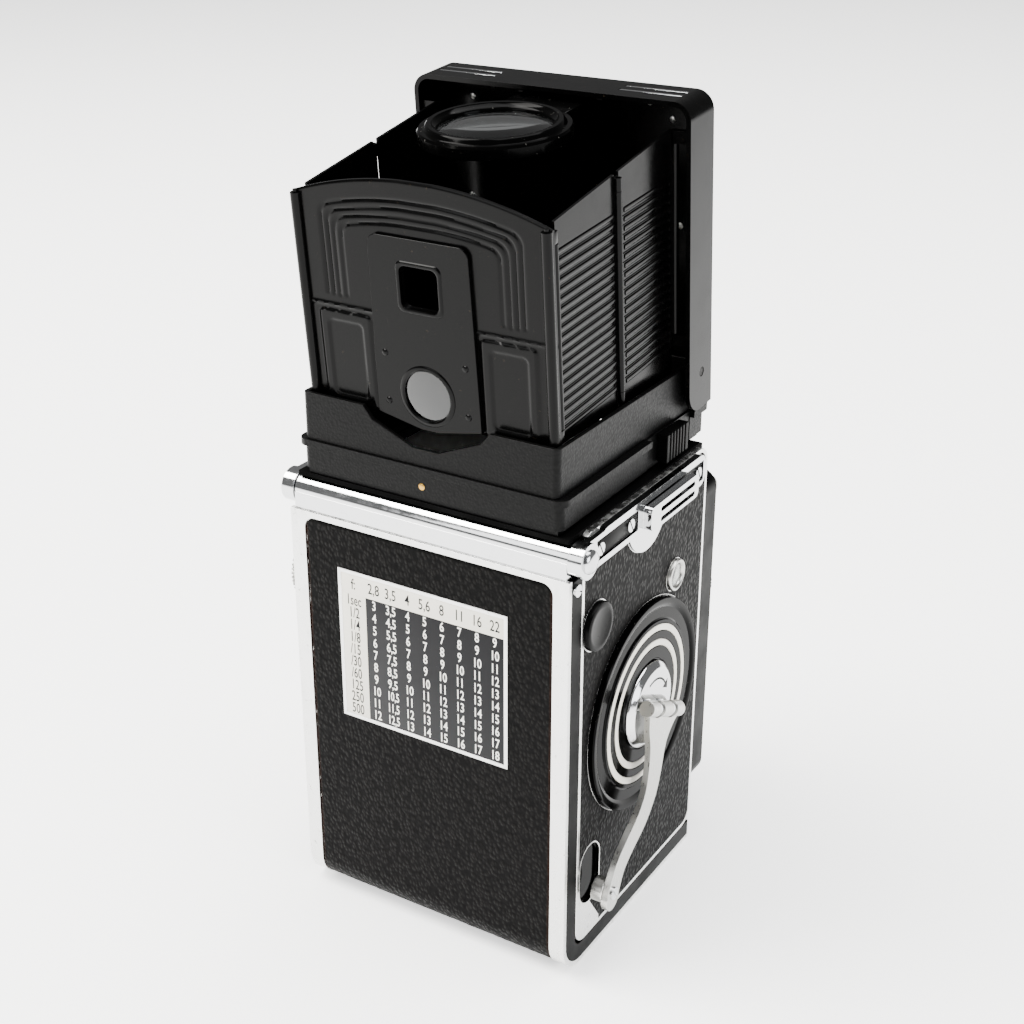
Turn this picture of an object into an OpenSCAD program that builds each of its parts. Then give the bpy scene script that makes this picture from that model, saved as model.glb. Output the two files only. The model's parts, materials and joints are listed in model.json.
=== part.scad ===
// Twin lens reflex camera with its hood open. Millimetres, +Z up, lenses towards -Y, crank on -X.
// The origin is the mouth of the tripod socket, in the middle of the underside.

/* [Body] */
// Width of the body over its side panels
body_w = 79; // [78:0.5:80]
// Height of the body from the surface it stands on to its deck
body_h = 121; // [120.5:0.5:121]
// Distance from the body's middle to its back face
body_back = 35.5; // [35:0.5:35.5]
// Thickness of each side panel
panel_t = 1.6; // [1.2:0.1:1.8]
// Thickness of the leather covering
leather_t = 0.7; // [0.5:0.1:0.9]
// Outer radius of the door's lower rear corner
door_r = 9; // [8:0.5:10]
// Width of the bright rim on each side of the door
door_rim = 4.2; // [3:0.1:5]

/* [Lenses] */
// Height of the taking lens above the base
taking_z = 46; // [45:0.5:47]
// Distance between the two lens axes
lens_gap = 42; // [41.5:0.5:42]

/* [Crank] */
// Radius of the black dial under the crank
dial_r = 28; // [27:0.5:28.5]

/* [Hood] */
// Backward lean of the open hood, in degrees
lean = 5.15; // [4.5:0.05:5.5]
// Height of the hood frame's top edge
frame_top = 142.2; // [142:0.1:142.4]
// Length of one wall leaf between its two hinge lines
leaf_l = 28; // [27.5:0.1:28]
// Radius of the magnifier's ring
magnifier_r = 18; // [17:0.5:19]

/* [Film] */
// Length of a film spool over its flanges
spool_l = 65.7; // [65:0.1:66]
// Radius of a film spool's flange
spool_r = 10.8; // [10:0.1:11]

/* [Hidden] */
$fn = 64;

hw = body_w / 2;                 // half width over the side panels
core_x = hw - panel_t;           // half width of the casting
shell_t = 1.3;                   // bright door shell
pan_t = 1.7;                     // black channel behind the shell
channel_d = 5.9;                 // depth of the channel's side flanges from the door's face
door_gap = 0.2;                  // clearance between the door and the casting
core_back = body_back - shell_t - pan_t - door_gap;
core_bottom = shell_t + pan_t + door_gap;
core_front = -34.3;
panel_front = -35.5;
door_front = -35;
door_top = 111.5;
hinge_y = 31;                    // axis of the door's hinge
hinge_z = 115.8;
hinge_r = 3.8;
pin_r = 1.5;
fit = 0.05;                      // running clearance on a radius

viewing_z = taking_z + lens_gap;
board_x = 36;                    // half width of the lens board
board_low = 12;
board_high = 107;
board_front = -50;
board_back = -36;
skirt_x = 31.4;
skirt_low = 20.4;
skirt_high = 103.6;
skirt_gap = 0.4;
chamber_x = 33.2;                // half width of the spool chambers and the film path

spool_axis_y = -12;              // lower, full spool
spool_axis_z = 15.2;
takeup_y = 19.5;                 // upper, take-up spool
takeup_z = 88.5;
roller_y = 28.6;
roller_r = 2.6;
gate = 28;                       // half side of the picture
gate_y = 29.8;                   // film plane

crank_y = -3;
crank_z = 61;
plate_face = -(hw + 1.5);        // outer face of the dial under the crank
hub_r = 11.5;
barrel_x = -45.4;                // axis of the crank's folding hinge
barrel_r = 2.1;
arm_t = 1.7;
fold_a = 26.5;                   // slope of the folding hinge's axis, in degrees
knob_y = 22.7;
knob_z = 21.2;
latch_y = -16.2;                 // pivot of the door's latch
latch_z = 0.7;
knob_r = 3.2;
knob_x0 = -41.3;                 // the stowed knob's end, just clear of the port cap
counter_y = -18.8;
counter_z = 90.5;
cap_y = 22.5;
cap_z = 95;

hood_low = 122.4;                // bottom edge of the hood base
rib_z = 130.2;
hood_front = -39.6;
hood_back = 33.8;
well_x = 34.1;                   // half width of the well inside the hood
anchor_y = -38.1;                // lower front corner of the leaning hood
anchor_z = 136.5;
lid_x = 38.1;
lid_d = 12.2;                    // depth of the lid's pan
lid_t = 1.2;
lid_h = 73.6;
pivot_y = 5.5;                   // lid pivot, measured from the anchor along the leaning axes
pivot_z = 4.7;
wall_x = 33;                     // hinge lines of the walls
wall_y = 10;                     // first hinge line behind the lid's face
leaf_t = 0.7;
rod_r = 0.5;
barrel_w = 0.9;                  // radius of a wall hinge's barrel
screen_top = 120.4;
magnifier_y = 35;
magnifier_z = 67.7;
magnifier_t = 4.3;
magnifier_bore = 13.1;           // radius of the lens and of the ring's bore
lens_dome = 68;                  // radius of the magnifier lens's curved face
arm_pivot_y = 4.6;
arm_pivot_z = 69.85;
focus_y = 3;
focus_z = 62;

// ---------- helpers ----------

// A flat outline in Y and Z, raised along X
module along_x(x0, x1) translate([x0, 0, 0]) rotate([90, 0, 90]) linear_extrude(x1 - x0) children();

// A flat outline in X and Z, raised along Y
module along_y(y0, y1) translate([0, y1, 0]) rotate([90, 0, 0]) linear_extrude(y1 - y0) children();

module along_z(z0, z1) translate([0, 0, z0]) linear_extrude(z1 - z0) children();

module rod_x(r, x0, x1, y, z) translate([x0, y, z]) rotate([0, 90, 0]) cylinder(r = r, h = x1 - x0);

module rod_y(r, y0, y1, x, z) translate([x, y1, z]) rotate([90, 0, 0]) cylinder(r = r, h = y1 - y0);

module rod_z(r, z0, z1, x, y) translate([x, y, z0]) cylinder(r = r, h = z1 - z0);

module ring_x(r1, r0, x0, x1, y, z) difference() {
  rod_x(r1, x0, x1, y, z);
  rod_x(r0, x0 - 1, x1 + 1, y, z);
}

module ring_y(r1, r0, y0, y1, x, z) difference() {
  rod_y(r1, y0, y1, x, z);
  rod_y(r0, y0 - 1, y1 + 1, x, z);
}

// Rectangle between two corners, with round corners
module soft_rect(a, b, r) {
  w = b[0] - a[0];
  h = b[1] - a[1];
  translate([a[0] + r, a[1]]) square([w - 2 * r, h]);
  translate([a[0], a[1] + r]) square([w, h - 2 * r]);
  for (x = [a[0] + r, b[0] - r], y = [a[1] + r, b[1] - r]) translate([x, y]) circle(r);
}

module rect(a, b) translate(a) square([b[0] - a[0], b[1] - a[1]]);

module block(a, b) translate(a) cube([b[0] - a[0], b[1] - a[1], b[2] - a[2]]);

// Gear-like grip on a wheel's rim
module grip_wheel(r, n, depth) difference() {
  circle(r);
  for (i = [0:n - 1]) rotate(i * 360 / n) translate([r + depth * 0.45, 0]) circle(depth, $fn = 14);
}

// The open hood leans back about its lower front corner
module leaning() translate([0, anchor_y, anchor_z]) rotate([-lean, 0, 0]) children();

// Side view of the door's outside, drawn in from its face by inset
module door_outline(inset, extra = 0) {
  r = door_r - inset;
  back = body_back - inset;
  rect([door_front - extra, inset], [back - r, door_top + extra]);
  rect([door_front - extra, inset + r], [back, door_top + extra]);
  translate([back - r, inset + r]) circle(r);
}

// L-shaped strip between two insets of the door's outline
module door_strip(outer, inner) difference() {
  door_outline(outer);
  door_outline(inner, 1);
}

// ---------- body ----------

module body_side() {
  r = 5.7;
  difference() {
    union() {
      rect([core_front, core_bottom], [core_back - r, body_h]);
      rect([core_front, core_bottom + r], [core_back, body_h - 1.2]);
      rect([core_front, body_h - 1.2], [33.4, body_h]);
      translate([core_back - r, core_bottom + r]) circle(r);
    }
    rect([hinge_y - hinge_r - 0.4, 111.3], [body_back + 1, body_h - 1.2]);
  }
}

// Outline of the front opening, with the skirt's clearance
module skirt_opening() soft_rect(
  [-skirt_x - skirt_gap, skirt_low - skirt_gap], [skirt_x + skirt_gap, skirt_high + skirt_gap], 3);

chamber_r = spool_r + 0.8;

module body_casting() color("#2b2b2d") difference() {
  along_x(-core_x, core_x) body_side();
  // mirror chamber, open to the screen
  along_x(-29.5, 29.5) polygon([
    [-31, 62.4], [-28, 62.4], [24.4, 114.8], [24.4, body_h + 1], [-31, body_h + 1]
  ]);
  // seat of the screen's frame
  block([-31.6, -32.6, 118.4], [31.6, 27.6, body_h + 1]);
  // front opening for the lens board's skirt
  along_y(core_front - 1, -27.2) skirt_opening();
  // light chamber behind the taking lens
  along_x(-gate, gate) polygon([
    [-31, taking_z - 14], [-31, taking_z + 13.8], [core_back + 1, taking_z + gate],
    [core_back + 1, taking_z - gate]
  ]);
  // take-up chamber, open at the back
  rod_x(chamber_r, -chamber_x, chamber_x, takeup_y, takeup_z);
  block([-chamber_x, takeup_y, takeup_z - 8], [chamber_x, core_back + 1, takeup_z + chamber_r]);
  block([-chamber_x, roller_y - 3.2, 74.4], [chamber_x, core_back + 1, takeup_z]);
  // supply chamber, open at the bottom
  rod_x(chamber_r, -chamber_x, chamber_x, spool_axis_y, spool_axis_z);
  along_x(-chamber_x, chamber_x) {
    rect([spool_axis_y - chamber_r, core_bottom - 1], [spool_axis_y + chamber_r, spool_axis_z]);
    polygon([[spool_axis_y, 2], [spool_axis_y, 26], [0, 23.4], [22.6, 18.5], [22.6, 2]]);
    rect([22.5, core_bottom - 1], [core_back + 1, 13.6]);
  }
  // bed of the film gate and the pressure plate
  block([-chamber_x, gate_y, 13], [chamber_x, core_back + 1, 75]);
  // bores for the shafts
  rod_x(3 + fit, -core_x - 1, -30, crank_y, crank_z);
  rod_x(4, 30, core_x + 1, focus_y, focus_z);
  for (p = [[spool_axis_y, spool_axis_z], [takeup_y, takeup_z]]) rod_x(3 + fit, 30, core_x + 1, p[0], p[1]);
  for (p = [[takeup_y, takeup_z], [spool_axis_y, spool_axis_z]]) rod_x(2, -36.4, -30, p[0], p[1]);
  rod_x(0.8 + fit, -core_x - 1, -34, counter_y, counter_z);
  // bores for the rollers' pins
  for (z = [77.2, 10.8], s = [-1, 1]) rod_x(1 + fit, s * 34 - 1, s * 34 + 1, roller_y, z);
}

module side_outline(m) difference() {
  soft_rect([panel_front + m, 6 + m], [29.3 - m, body_h - 0.5 - m], 4.5 - m);
  // room for the door hinge's knuckle
  translate([hinge_y, hinge_z]) circle(5.4 + m);
}

// Pocket beside the lower rear corner where the crank's folded knob lies
module knob_pocket(grow) {
  translate([knob_y, knob_z]) circle(4.9 + grow);
  translate([knob_y - 4.9 - grow, knob_z]) square([9.8 + 2 * grow, 7]);
  translate([knob_y, knob_z + 7]) circle(4.9 + grow);
}

module crank_side_leather_outline() difference() {
  side_outline(1.1);
  polygon([[17.4, 0], [17.4, 8.4], [26.6, 22.2], [32, 22.2], [32, 0]]);
  knob_pocket(0.4);
  translate([crank_y, crank_z]) circle(dial_r + 0.3);
  translate([counter_y, counter_z]) circle(4.5);
  translate([cap_y, cap_z]) circle(6.5);
  lug_outline(0.2);
}

module panel_with_pocket(s) difference() {
  along_x(s > 0 ? core_x : -hw, s > 0 ? hw : -core_x) side_outline(0);
  along_x(s > 0 ? hw - leather_t : -hw - 1, s > 0 ? hw + 1 : -hw + leather_t) children();
}

module crank_side_panel() color("#b9b9b7") difference() {
  panel_with_pocket(-1) crank_side_leather_outline();
  along_x(-hw - 1, -hw + 1.1) knob_pocket(0);
  rod_x(3 + fit, -hw - 1, -core_x + 1, crank_y, crank_z);
  rod_x(3.8, -hw - 1, -core_x + 1, counter_y, counter_z);
  rod_x(dial_r + 0.1, -hw - 1, -hw + leather_t, crank_y, crank_z);
}

module crank_side_leather() color("#1b1a1a")
  along_x(-hw - 0.05, -hw + leather_t) crank_side_leather_outline();

module focus_side_leather_outline() difference() {
  side_outline(1.1);
  translate([focus_y, focus_z]) circle(18.3);
  translate([spool_axis_y, spool_axis_z]) circle(8.4);
  translate([takeup_y, takeup_z]) circle(10.4);
  lug_outline(0.2);
}

module focus_side_panel() color("#b9b9b7") difference() {
  panel_with_pocket(1) focus_side_leather_outline();
  rod_x(4, core_x - 1, hw + 1, focus_y, focus_z);
  for (p = [[spool_axis_y, spool_axis_z], [takeup_y, takeup_z]])
    rod_x(3 + fit, core_x - 1, hw + 1, p[0], p[1]);
}

module focus_side_leather() color("#1b1a1a") along_x(hw - leather_t, hw + 0.05) focus_side_leather_outline();

module front_panel() color("#1b1a1a") difference() {
  along_y(panel_front, core_front) rect([-core_x, 6], [core_x, body_h - 0.5]);
  along_y(panel_front - 1, core_front + 1) skirt_opening();
}

// The bush is let into the door's bottom
module tripod_bush() color("#c8c8c6") difference() {
  union() {
    rod_z(bush_r, 0, 4, 0, 0);
    rod_z(5, 4, 6.4, 0, 0);
  }
  rod_z(3.175, -1, 5.6, 0, 0);
}

// ---------- strap lugs and hinge ----------

lug_front = -30.5;
lug_low = 112;
lug_high = 120.4;
lug_face = 41.3;
lug_floor = 40.7;                // floor of the strip's dark recesses
lug_screws_y = [24, 9.4, -26.7];
lug_screw_z = 115.9;
thumb_y = -1.5;                  // centre of the round thumb plate
thumb_z = 114.8;
thumb_r = 10;

module thumb_plate(grow) intersection() {
  translate([thumb_y, thumb_z]) circle(thumb_r + grow);
  rect([thumb_y - thumb_r - 1, 100], [thumb_y + thumb_r + 1, lug_low + 0.5]);
}

module lug_outline(grow) {
  rect([lug_front - grow, lug_low - grow], [hinge_y, lug_high + grow]);
  thumb_plate(grow);
  translate([hinge_y, hinge_z]) circle(4.6 + grow);
}

// One lug on the crank side: strip, raised carrying bars, thumb plate and the hinge's knuckle
module strap_lug() difference() {
  union() {
    along_x(-lug_face, -hw) soft_rect([lug_front, lug_low], [24, lug_high], 3);
    along_x(-lug_face, -hw) rect([20, lug_low], [hinge_y, 119.9]);
    along_x(-42.2, -hw + 0.9) translate([hinge_y, hinge_z]) circle(4.3);
    along_x(-40.1, -hw) thumb_plate(0);
    difference() {
      // the bars stay clear of the crank's knob as it goes round
      along_x(-43.5, -lug_face + 0.1) soft_rect([-22, 112.1], [3.5, 118.3], 1.6);
      for (z = [113.7, 116.3]) along_x(-44, -lug_face) soft_rect([-20, z - 0.6], [-1.5, z + 0.6], 0.55);
    }
  }
  for (y = [[6, 26.2], [lug_front + 1.2, 2.4]])
    along_x(-lug_face - 0.3, -lug_floor) rect([y[0], 113.4], [y[1], 118.6]);
  rod_x(pin_r, -43, -hw + 1, hinge_y, hinge_z);
  for (y = lug_screws_y) rod_x(0.8, -42, -hw - 0.4, y, lug_screw_z);
}

module strap_lugs() color("#d6d6d4") {
  strap_lug();
  mirror([1, 0, 0]) strap_lug();
}

module lug_screw(y, r) {
  rod_x(0.8, -lug_floor, -hw - 0.4, y, lug_screw_z);
  difference() {
    rod_x(r, -lug_face, -lug_floor, y, lug_screw_z);
    block([-lug_face - 0.1, y - r, lug_screw_z - 0.2], [-lug_face + 0.25, y + r, lug_screw_z + 0.2]);
  }
}

module lug_screws() color("#e0e0de") for (m = [0, 1], y = lug_screws_y) mirror([m, 0, 0]) lug_screw(y, 1.6);

module hinge_pins() color("#cfcfcd") for (m = [0, 1]) mirror([m, 0, 0]) {
  rod_x(pin_r, -42.2, -32, hinge_y, hinge_z);
  rod_x(2.6, -43, -42.2, hinge_y, hinge_z);
}

// ---------- crank side ----------

module port_cap() color("#202020") {
  rod_x(6.2, -hw - 1.3, -hw, cap_y, cap_z);
  rod_x(5.6, -hw - 1.6, -hw - 1.3, cap_y, cap_z);
}

module counter_bezel() color("#dcdcd8") difference() {
  union() {
    rod_x(4.3, -40.6, -hw, counter_y, counter_z);
    rod_x(3.7, -hw - 0.1, -core_x - 0.1, counter_y, counter_z);
  }
  rod_x(2.9, -41, -core_x + 1, counter_y, counter_z);
}

// Numbered disc under the window, on a stub shaft
module counter_dial() color("#e9e7df") {
  rod_x(2.7, -39.2, -38.7, counter_y, counter_z);
  rod_x(0.8, -38.7, -34.2, counter_y, counter_z);
}

module crank_plate() color("#151515") difference() {
  union() {
    rod_x(dial_r, plate_face + 0.5, -hw + leather_t, crank_y, crank_z);
    ring_x(dial_r, dial_r - 2.6, plate_face - 0.1, plate_face + 0.6, crank_y, crank_z);
    rod_x(dial_r - 6, plate_face, plate_face + 0.6, crank_y, crank_z);
  }
  rod_x(3 + fit, -45, -core_x + 1, crank_y, crank_z);
  rod_x(hub_r + 0.4, plate_face - 1, plate_face + 0.5, crank_y, crank_z);
  for (r = [21, 17]) ring_x(r, r - 1.7, plate_face - 1, plate_face + 0.7, crank_y, crank_z);
}

module dial_rings() color("#e4e3dc") for (r = [21, 17])
  ring_x(r, r - 1.7, plate_face, plate_face + 0.7, crank_y, crank_z);

// Frame of the crank: looks along the folding hinge, which lies across the crank
module fold_frame() translate([barrel_x, crank_y, crank_z]) rotate([fold_a, 0, 0]) children();

module crank_hub() color("#d8d8d6") {
  rod_x(hub_r, plate_face - 0.4, plate_face + 0.4, crank_y, crank_z);
  translate([plate_face - 0.4, crank_y, crank_z]) rotate([0, -90, 0])
    cylinder(r1 = hub_r, r2 = hub_r - 1.6, h = 1.4);
  rod_x(3, plate_face + 0.4, -31, crank_y, crank_z);
  // two ears carry the folding hinge's pin
  fold_frame() for (s = [-1, 1]) difference() {
    union() {
      translate([0, s * 4.1 + 1, 0]) rotate([90, 0, 0]) cylinder(r = 1.7, h = 2);
      block([0, s * 4.1 - 1, -1.5], [plate_face - 0.9 - barrel_x, s * 4.1 + 1, 1.5]);
    }
    translate([0, 8, 0]) rotate([90, 0, 0]) cylinder(r = 0.7 + fit, h = 16);
  }
}

// Centre line of the crank's arm in Y and Z with its half widths. It starts above the folding hinge,
// so that the curve crosses the hinge squarely.
arm_line = [
  [-4.8, 64.6, 9.4], [-3, 61, 9.4], [-1.3, 57.4, 7.4], [0.2, 52, 4.5], [1.6, 45, 3.7], [3.6, 39.5, 3.5],
  [8, 34.4, 3.3], [14, 30.6, 3.1], [18.8, 27, 3], [21.6, 22.8, 3.1], [23.4, 17.8, 2.9], [24.6, 13, 2.9]
];
arm_steps = 3;
arm_tip_r = 3.15;

// Smooth curve through the line's points i and i + 1
function arm_at(i, t) = 0.5 * (
  2 * arm_line[i] + t * (arm_line[i + 1] - arm_line[i - 1])
  + t * t * (2 * arm_line[i - 1] - 5 * arm_line[i] + 4 * arm_line[i + 1] - arm_line[i + 2])
  + t * t * t * (3 * arm_line[i] - arm_line[i - 1] - 3 * arm_line[i + 1] + arm_line[i + 2])
);

arm_path = [for (i = [1:len(arm_line) - 3], k = [0:arm_steps - 1]) arm_at(i, k / arm_steps)];

function arm_way(i) = let (d = arm_path[min(i + 1, len(arm_path) - 1)] - arm_path[max(i - 1, 0)])
  [-d[1], d[0]] / norm([d[0], d[1]]);

function arm_edge(i, s) = [arm_path[i][0], arm_path[i][1]] + s * arm_path[i][2] * arm_way(i);

module arm_outline() {
  last = len(arm_path) - 1;
  polygon(concat([for (i = [0:last]) arm_edge(i, 1)], [for (i = [last:-1:0]) arm_edge(i, -1)]));
  translate([arm_path[last][0], arm_path[last][1]]) circle(arm_tip_r);
}

module crank_arm() color("#d2d2d0") {
  difference() {
    along_x(barrel_x - 0.9, barrel_x + arm_t - 0.9) arm_outline();
    // the ears of the hub stand in two slots
    fold_frame() for (s = [-1, 1]) translate([-3, s * 4.1 - 1.2, -2.1]) cube([6, 2.4, 6]);
  }
  fold_frame() {
    for (y = [[-10, -5.3], [-2.9, 2.9], [5.3, 10]])
      translate([0, y[1], 0]) rotate([90, 0, 0]) cylinder(r = barrel_r, h = y[1] - y[0]);
    translate([0, 9.5, 0]) rotate([90, 0, 0]) cylinder(r = 0.7, h = 19);
  }
  // rivet that carries the knob
  rod_x(1, barrel_x, knob_x0 - 0.4, knob_y, knob_z);
}

module crank_knob() color("#c9c9c7") difference() {
  rod_x(knob_r, barrel_x + arm_t - 0.85, knob_x0, knob_y, knob_z);
  rod_x(1 + fit, barrel_x, knob_x0 + 1, knob_y, knob_z);
}

// ---------- door ----------

bush_r = 9;

module bush_hole() rod_z(bush_r, -1, 7, 0, 0);

leather_top = 110;
bed_x = hw - door_rim;           // half width of the leather between the rims

// Leather area of the door between two insets, with round top corners and a break for the latch
module leather_bed(outer, inner) difference() {
  intersection() {
    along_x(-hw, hw) door_strip(outer, inner);
    along_y(door_front + 3, body_back + 2) soft_rect([-bed_x, -10], [bed_x, leather_top], 3);
  }
  block([-12.5, -40, -3], [12.5, -13.5, 3]);
}

module back_door() color("#cfcfcc") difference() {
  along_x(-hw, hw) door_strip(0, shell_t);
  leather_bed(-1, leather_t);
  bush_hole();
  // pocket and pivot bores of the latch
  block([-9.4, -34.4, -1], [9.4, -15, shell_t + 1]);
  rod_x(0.45 + fit, -11.2, 11.2, latch_y, latch_z);
}

module back_leather() color("#1a1919") difference() {
  leather_bed(0.1, leather_t);
  bush_hole();
  along_y(body_back - 1.5, body_back + 1) soft_rect([-23.2, 56.8], [25.8, 98.6], 0.8);
}

module exposure_table() color("#d9d9d4")
  along_y(body_back - leather_t, body_back) soft_rect([-23.2, 56.8], [25.8, 98.6], 0.8);

module back_channel() color("#1c1c1d") difference() {
  union() {
    along_x(-hw, hw) intersection() {
      door_strip(shell_t, shell_t + pan_t);
      rect([-100, -10], [100, door_top - 0.5]);
    }
    for (m = [0, 1]) mirror([m, 0, 0]) along_x(-hw, -core_x - door_gap) intersection() {
      door_strip(shell_t + pan_t, channel_d);
      rect([-100, -10], [100, door_top - 0.5]);
    }
  }
  bush_hole();
}

module back_hinge_bar() color("#dededc") difference() {
  union() {
    rod_x(hinge_r, -38.4, 38.4, hinge_y, hinge_z);
    // web down to the door, thin enough to pass under the deck when the door opens
    along_x(-38.4, 38.4) rect([hinge_y, door_top], [hinge_y + hinge_r + 0.1, hinge_z]);
  }
  for (m = [0, 1]) mirror([m, 0, 0]) rod_x(pin_r + fit, -39, -31.5, hinge_y, hinge_z);
}

module pressure_plate() color("#3a3a3c") {
  along_y(gate_y + 0.7, gate_y + 1.7) soft_rect([-31, 18], [31, 73], 3);
  for (x = [-18, 18], z = [32, 60]) rod_y(2, gate_y + 1.7, gate_y + 2.2, x, z);
}

// Folding loop that lies flush in the door's bottom
module door_latch() color("#d0d0ce") {
  along_z(latch_z - 0.5, latch_z + 0.5) difference() {
    soft_rect([-9, -34], [9, latch_y + 0.3], 0.25);
    soft_rect([-6, -30], [6, -18.5], 2);
  }
  rod_x(0.45, -11, 11, latch_y, latch_z);
}

// ---------- inside ----------

module reflex_mirror() color("#c4cdd2") translate([0, -28, 62.4]) rotate([45, 0, 0])
  block([-28.5, 3.5, 0], [28.5, 72, 1.6]);

module focusing_screen() color("#d5d8cf") block([-28.6, -29.6, 118.9], [28.6, 24.6, 120.2]);

module screen_frame() color("#232324") difference() {
  block([-31.6, -32.6, 118.4], [31.6, 27.6, screen_top]);
  block([-28.6, -29.6, 118.9], [28.6, 24.6, screen_top + 1]);
  block([-27.4, -28.4, 117], [27.4, 23.4, screen_top + 1]);
}

module film_roller(z) {
  rod_x(roller_r, -32.5, 32.5, roller_y, z);
  rod_x(1, -34.8, 34.8, roller_y, z);
}

module film_roller_upper() color("#8f9092") film_roller(77.2);

module film_roller_lower() color("#8f9092") film_roller(10.8);

// Film spool: core, two flanges and the stub that turns it
module spool(y, z) difference() {
  union() {
    rod_x(5, -spool_l / 2, spool_l / 2, y, z);
    rod_x(spool_r, -spool_l / 2, -spool_l / 2 + 1.2, y, z);
    rod_x(spool_r, spool_l / 2 - 1.2, spool_l / 2, y, z);
    rod_x(2 - fit, -36, -spool_l / 2, y, z);
  }
  rod_x(1.6, 28, spool_l / 2 + 1, y, z);
}

module supply_spool() color("#6b6d70") spool(spool_axis_y, spool_axis_z);

module takeup_spool() color("#6b6d70") spool(takeup_y, takeup_z);

// ---------- focus side ----------

module focus_knob() color("#3c3c3e") {
  along_x(hw + 0.7, hw + 4) translate([focus_y, focus_z]) circle(17);
  along_x(hw + 4, hw + 10.5) translate([focus_y, focus_z]) grip_wheel(17.5, 60, 0.9);
  rod_x(15, hw + 10.5, hw + 11.3, focus_y, focus_z);
  rod_x(4 - fit, 31, hw + 0.7, focus_y, focus_z);
}

module spool_knob(y, z, r, n) {
  along_x(hw + 0.7, hw + 6) translate([y, z]) grip_wheel(r, n, 0.8);
  rod_x(r - 2, hw + 6, hw + 6.8, y, z);
  rod_x(3, spool_l / 2 + 0.3, hw + 0.7, y, z);
  rod_x(1.6 - fit, 29, spool_l / 2 + 0.3, y, z);
}

module supply_knob() color("#d0d0ce") spool_knob(spool_axis_y, spool_axis_z, 8, 30);

module takeup_knob() color("#d0d0ce") spool_knob(takeup_y, takeup_z, 10, 36);

// ---------- lens board ----------

wheel_x = 24;
wheel_z = 70.5;
button_x = -26;
button_z = 17;
lever_x = 28;
lever_z = 30;

module lens_board() color("#1d1d1e") difference() {
  union() {
    difference() {
      along_y(board_front, board_back) soft_rect([-board_x, board_low], [board_x, board_high], 5);
      along_y(board_front + 1.5, board_back + 1)
        soft_rect([-board_x + 1.5, board_low + 1.5], [board_x - 1.5, board_high - 1.5], 3.5);
    }
    difference() {
      along_y(board_front + 1, -27.6) soft_rect([-skirt_x, skirt_low], [skirt_x, skirt_high], 2.6);
      along_y(board_front + 1.5, -27)
        soft_rect([-skirt_x + 1.2, skirt_low + 1.2], [skirt_x - 1.2, skirt_high - 1.2], 1.4);
    }
  }
  rod_y(13, board_front - 1, board_front + 3, 0, viewing_z);
  rod_y(14, board_front - 1, board_front + 3, 0, taking_z);
  for (x = [-wheel_x, wheel_x]) rod_y(2 + fit, board_front - 1, board_front + 3, x, wheel_z);
  rod_y(2.8 + fit, board_front - 1, board_front + 3, button_x, button_z);
  rod_y(1.2 + fit, board_front - 1, board_front + 3, lever_x, lever_z);
}

module board_cover() color("#151516") difference() {
  along_y(board_front - 2.5, board_front) {
    for (z = [taking_z, viewing_z]) translate([0, z]) circle(21.5);
    rect([-13, taking_z], [13, viewing_z]);
  }
  for (z = [taking_z, viewing_z]) rod_y(18.5, board_front - 4, board_front + 1, 0, z);
}

module barrel(z, r, inner, front) difference() {
  union() {
    rod_y(18.5, board_front - 5, board_front, 0, z);
    rod_y(r, front + 1.5, board_front - 5, 0, z);
    rod_y(r - 0.8, front, front + 1.5, 0, z);
    // bayonet lugs
    for (a = [90, 210, 330]) translate([0, 0, z]) rotate([0, a, 0])
      block([r - 1, front + 3, -3], [r + 1, front + 4.6, 3]);
  }
  rod_y(inner, front - 1, board_front + 1, 0, z);
  rod_y(inner + 2.2, front - 1, front + 2.4, 0, z);
}

module lens_barrels() color("#c4c4c2") {
  barrel(viewing_z, 17, 13, board_front - 13);
  barrel(taking_z, 17, 13, board_front - 14.5);
}

// Round lens with a domed front
module lens_glass(r, front, back, z, dome) intersection() {
  rod_y(r, front, back, 0, z);
  translate([0, front + dome, z]) sphere(dome, $fn = 96);
}

module viewing_lens() color("#9fb4bf") lens_glass(13, board_front - 8.5, board_front - 4, viewing_z, 26);

module taking_lens() color("#93a3b5") {
  lens_glass(13, board_front - 9.5, board_front - 5, taking_z, 24);
  rod_y(9.9, board_front + 9.4, board_front + 12, 0, taking_z);
}

module shutter_unit() color("#29292b") {
  difference() {
    rod_y(20, board_front + 1.5, board_front + 9, 0, taking_z);
    rod_y(10, board_front, board_front + 10, 0, taking_z);
  }
  rod_y(10.4, board_front + 4, board_front + 4.6, 0, taking_z);
  ring_y(12, 9.9, board_front + 9, board_front + 12.4, 0, taking_z);
}

module front_wheel(x) {
  along_y(board_front - 5.5, board_front - 2.8) translate([x, wheel_z]) grip_wheel(9.8, 32, 0.8);
  rod_y(6.5, board_front - 6.1, board_front - 5.5, x, wheel_z);
  rod_y(2, board_front - 2.8, board_front + 2.2, x, wheel_z);
}

module aperture_wheel() color("#2a2a2c") front_wheel(-wheel_x);

module shutter_wheel() color("#2a2a2c") front_wheel(wheel_x);

module release_button() color("#dadad8") {
  rod_y(2.8, board_front - 6, board_front + 4, button_x, button_z);
  rod_y(3.3, board_front - 7, board_front - 6, button_x, button_z);
}

module timer_lever() color("#d0d0ce") {
  along_y(board_front - 2, board_front - 0.3) {
    translate([lever_x, lever_z]) circle(3);
    rect([lever_x - 1.6, lever_z - 10], [lever_x + 1.6, lever_z]);
    translate([lever_x, lever_z - 10]) circle(2.4);
  }
  rod_y(1.2, board_front - 0.3, board_front + 2.2, lever_x, lever_z);
}

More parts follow.
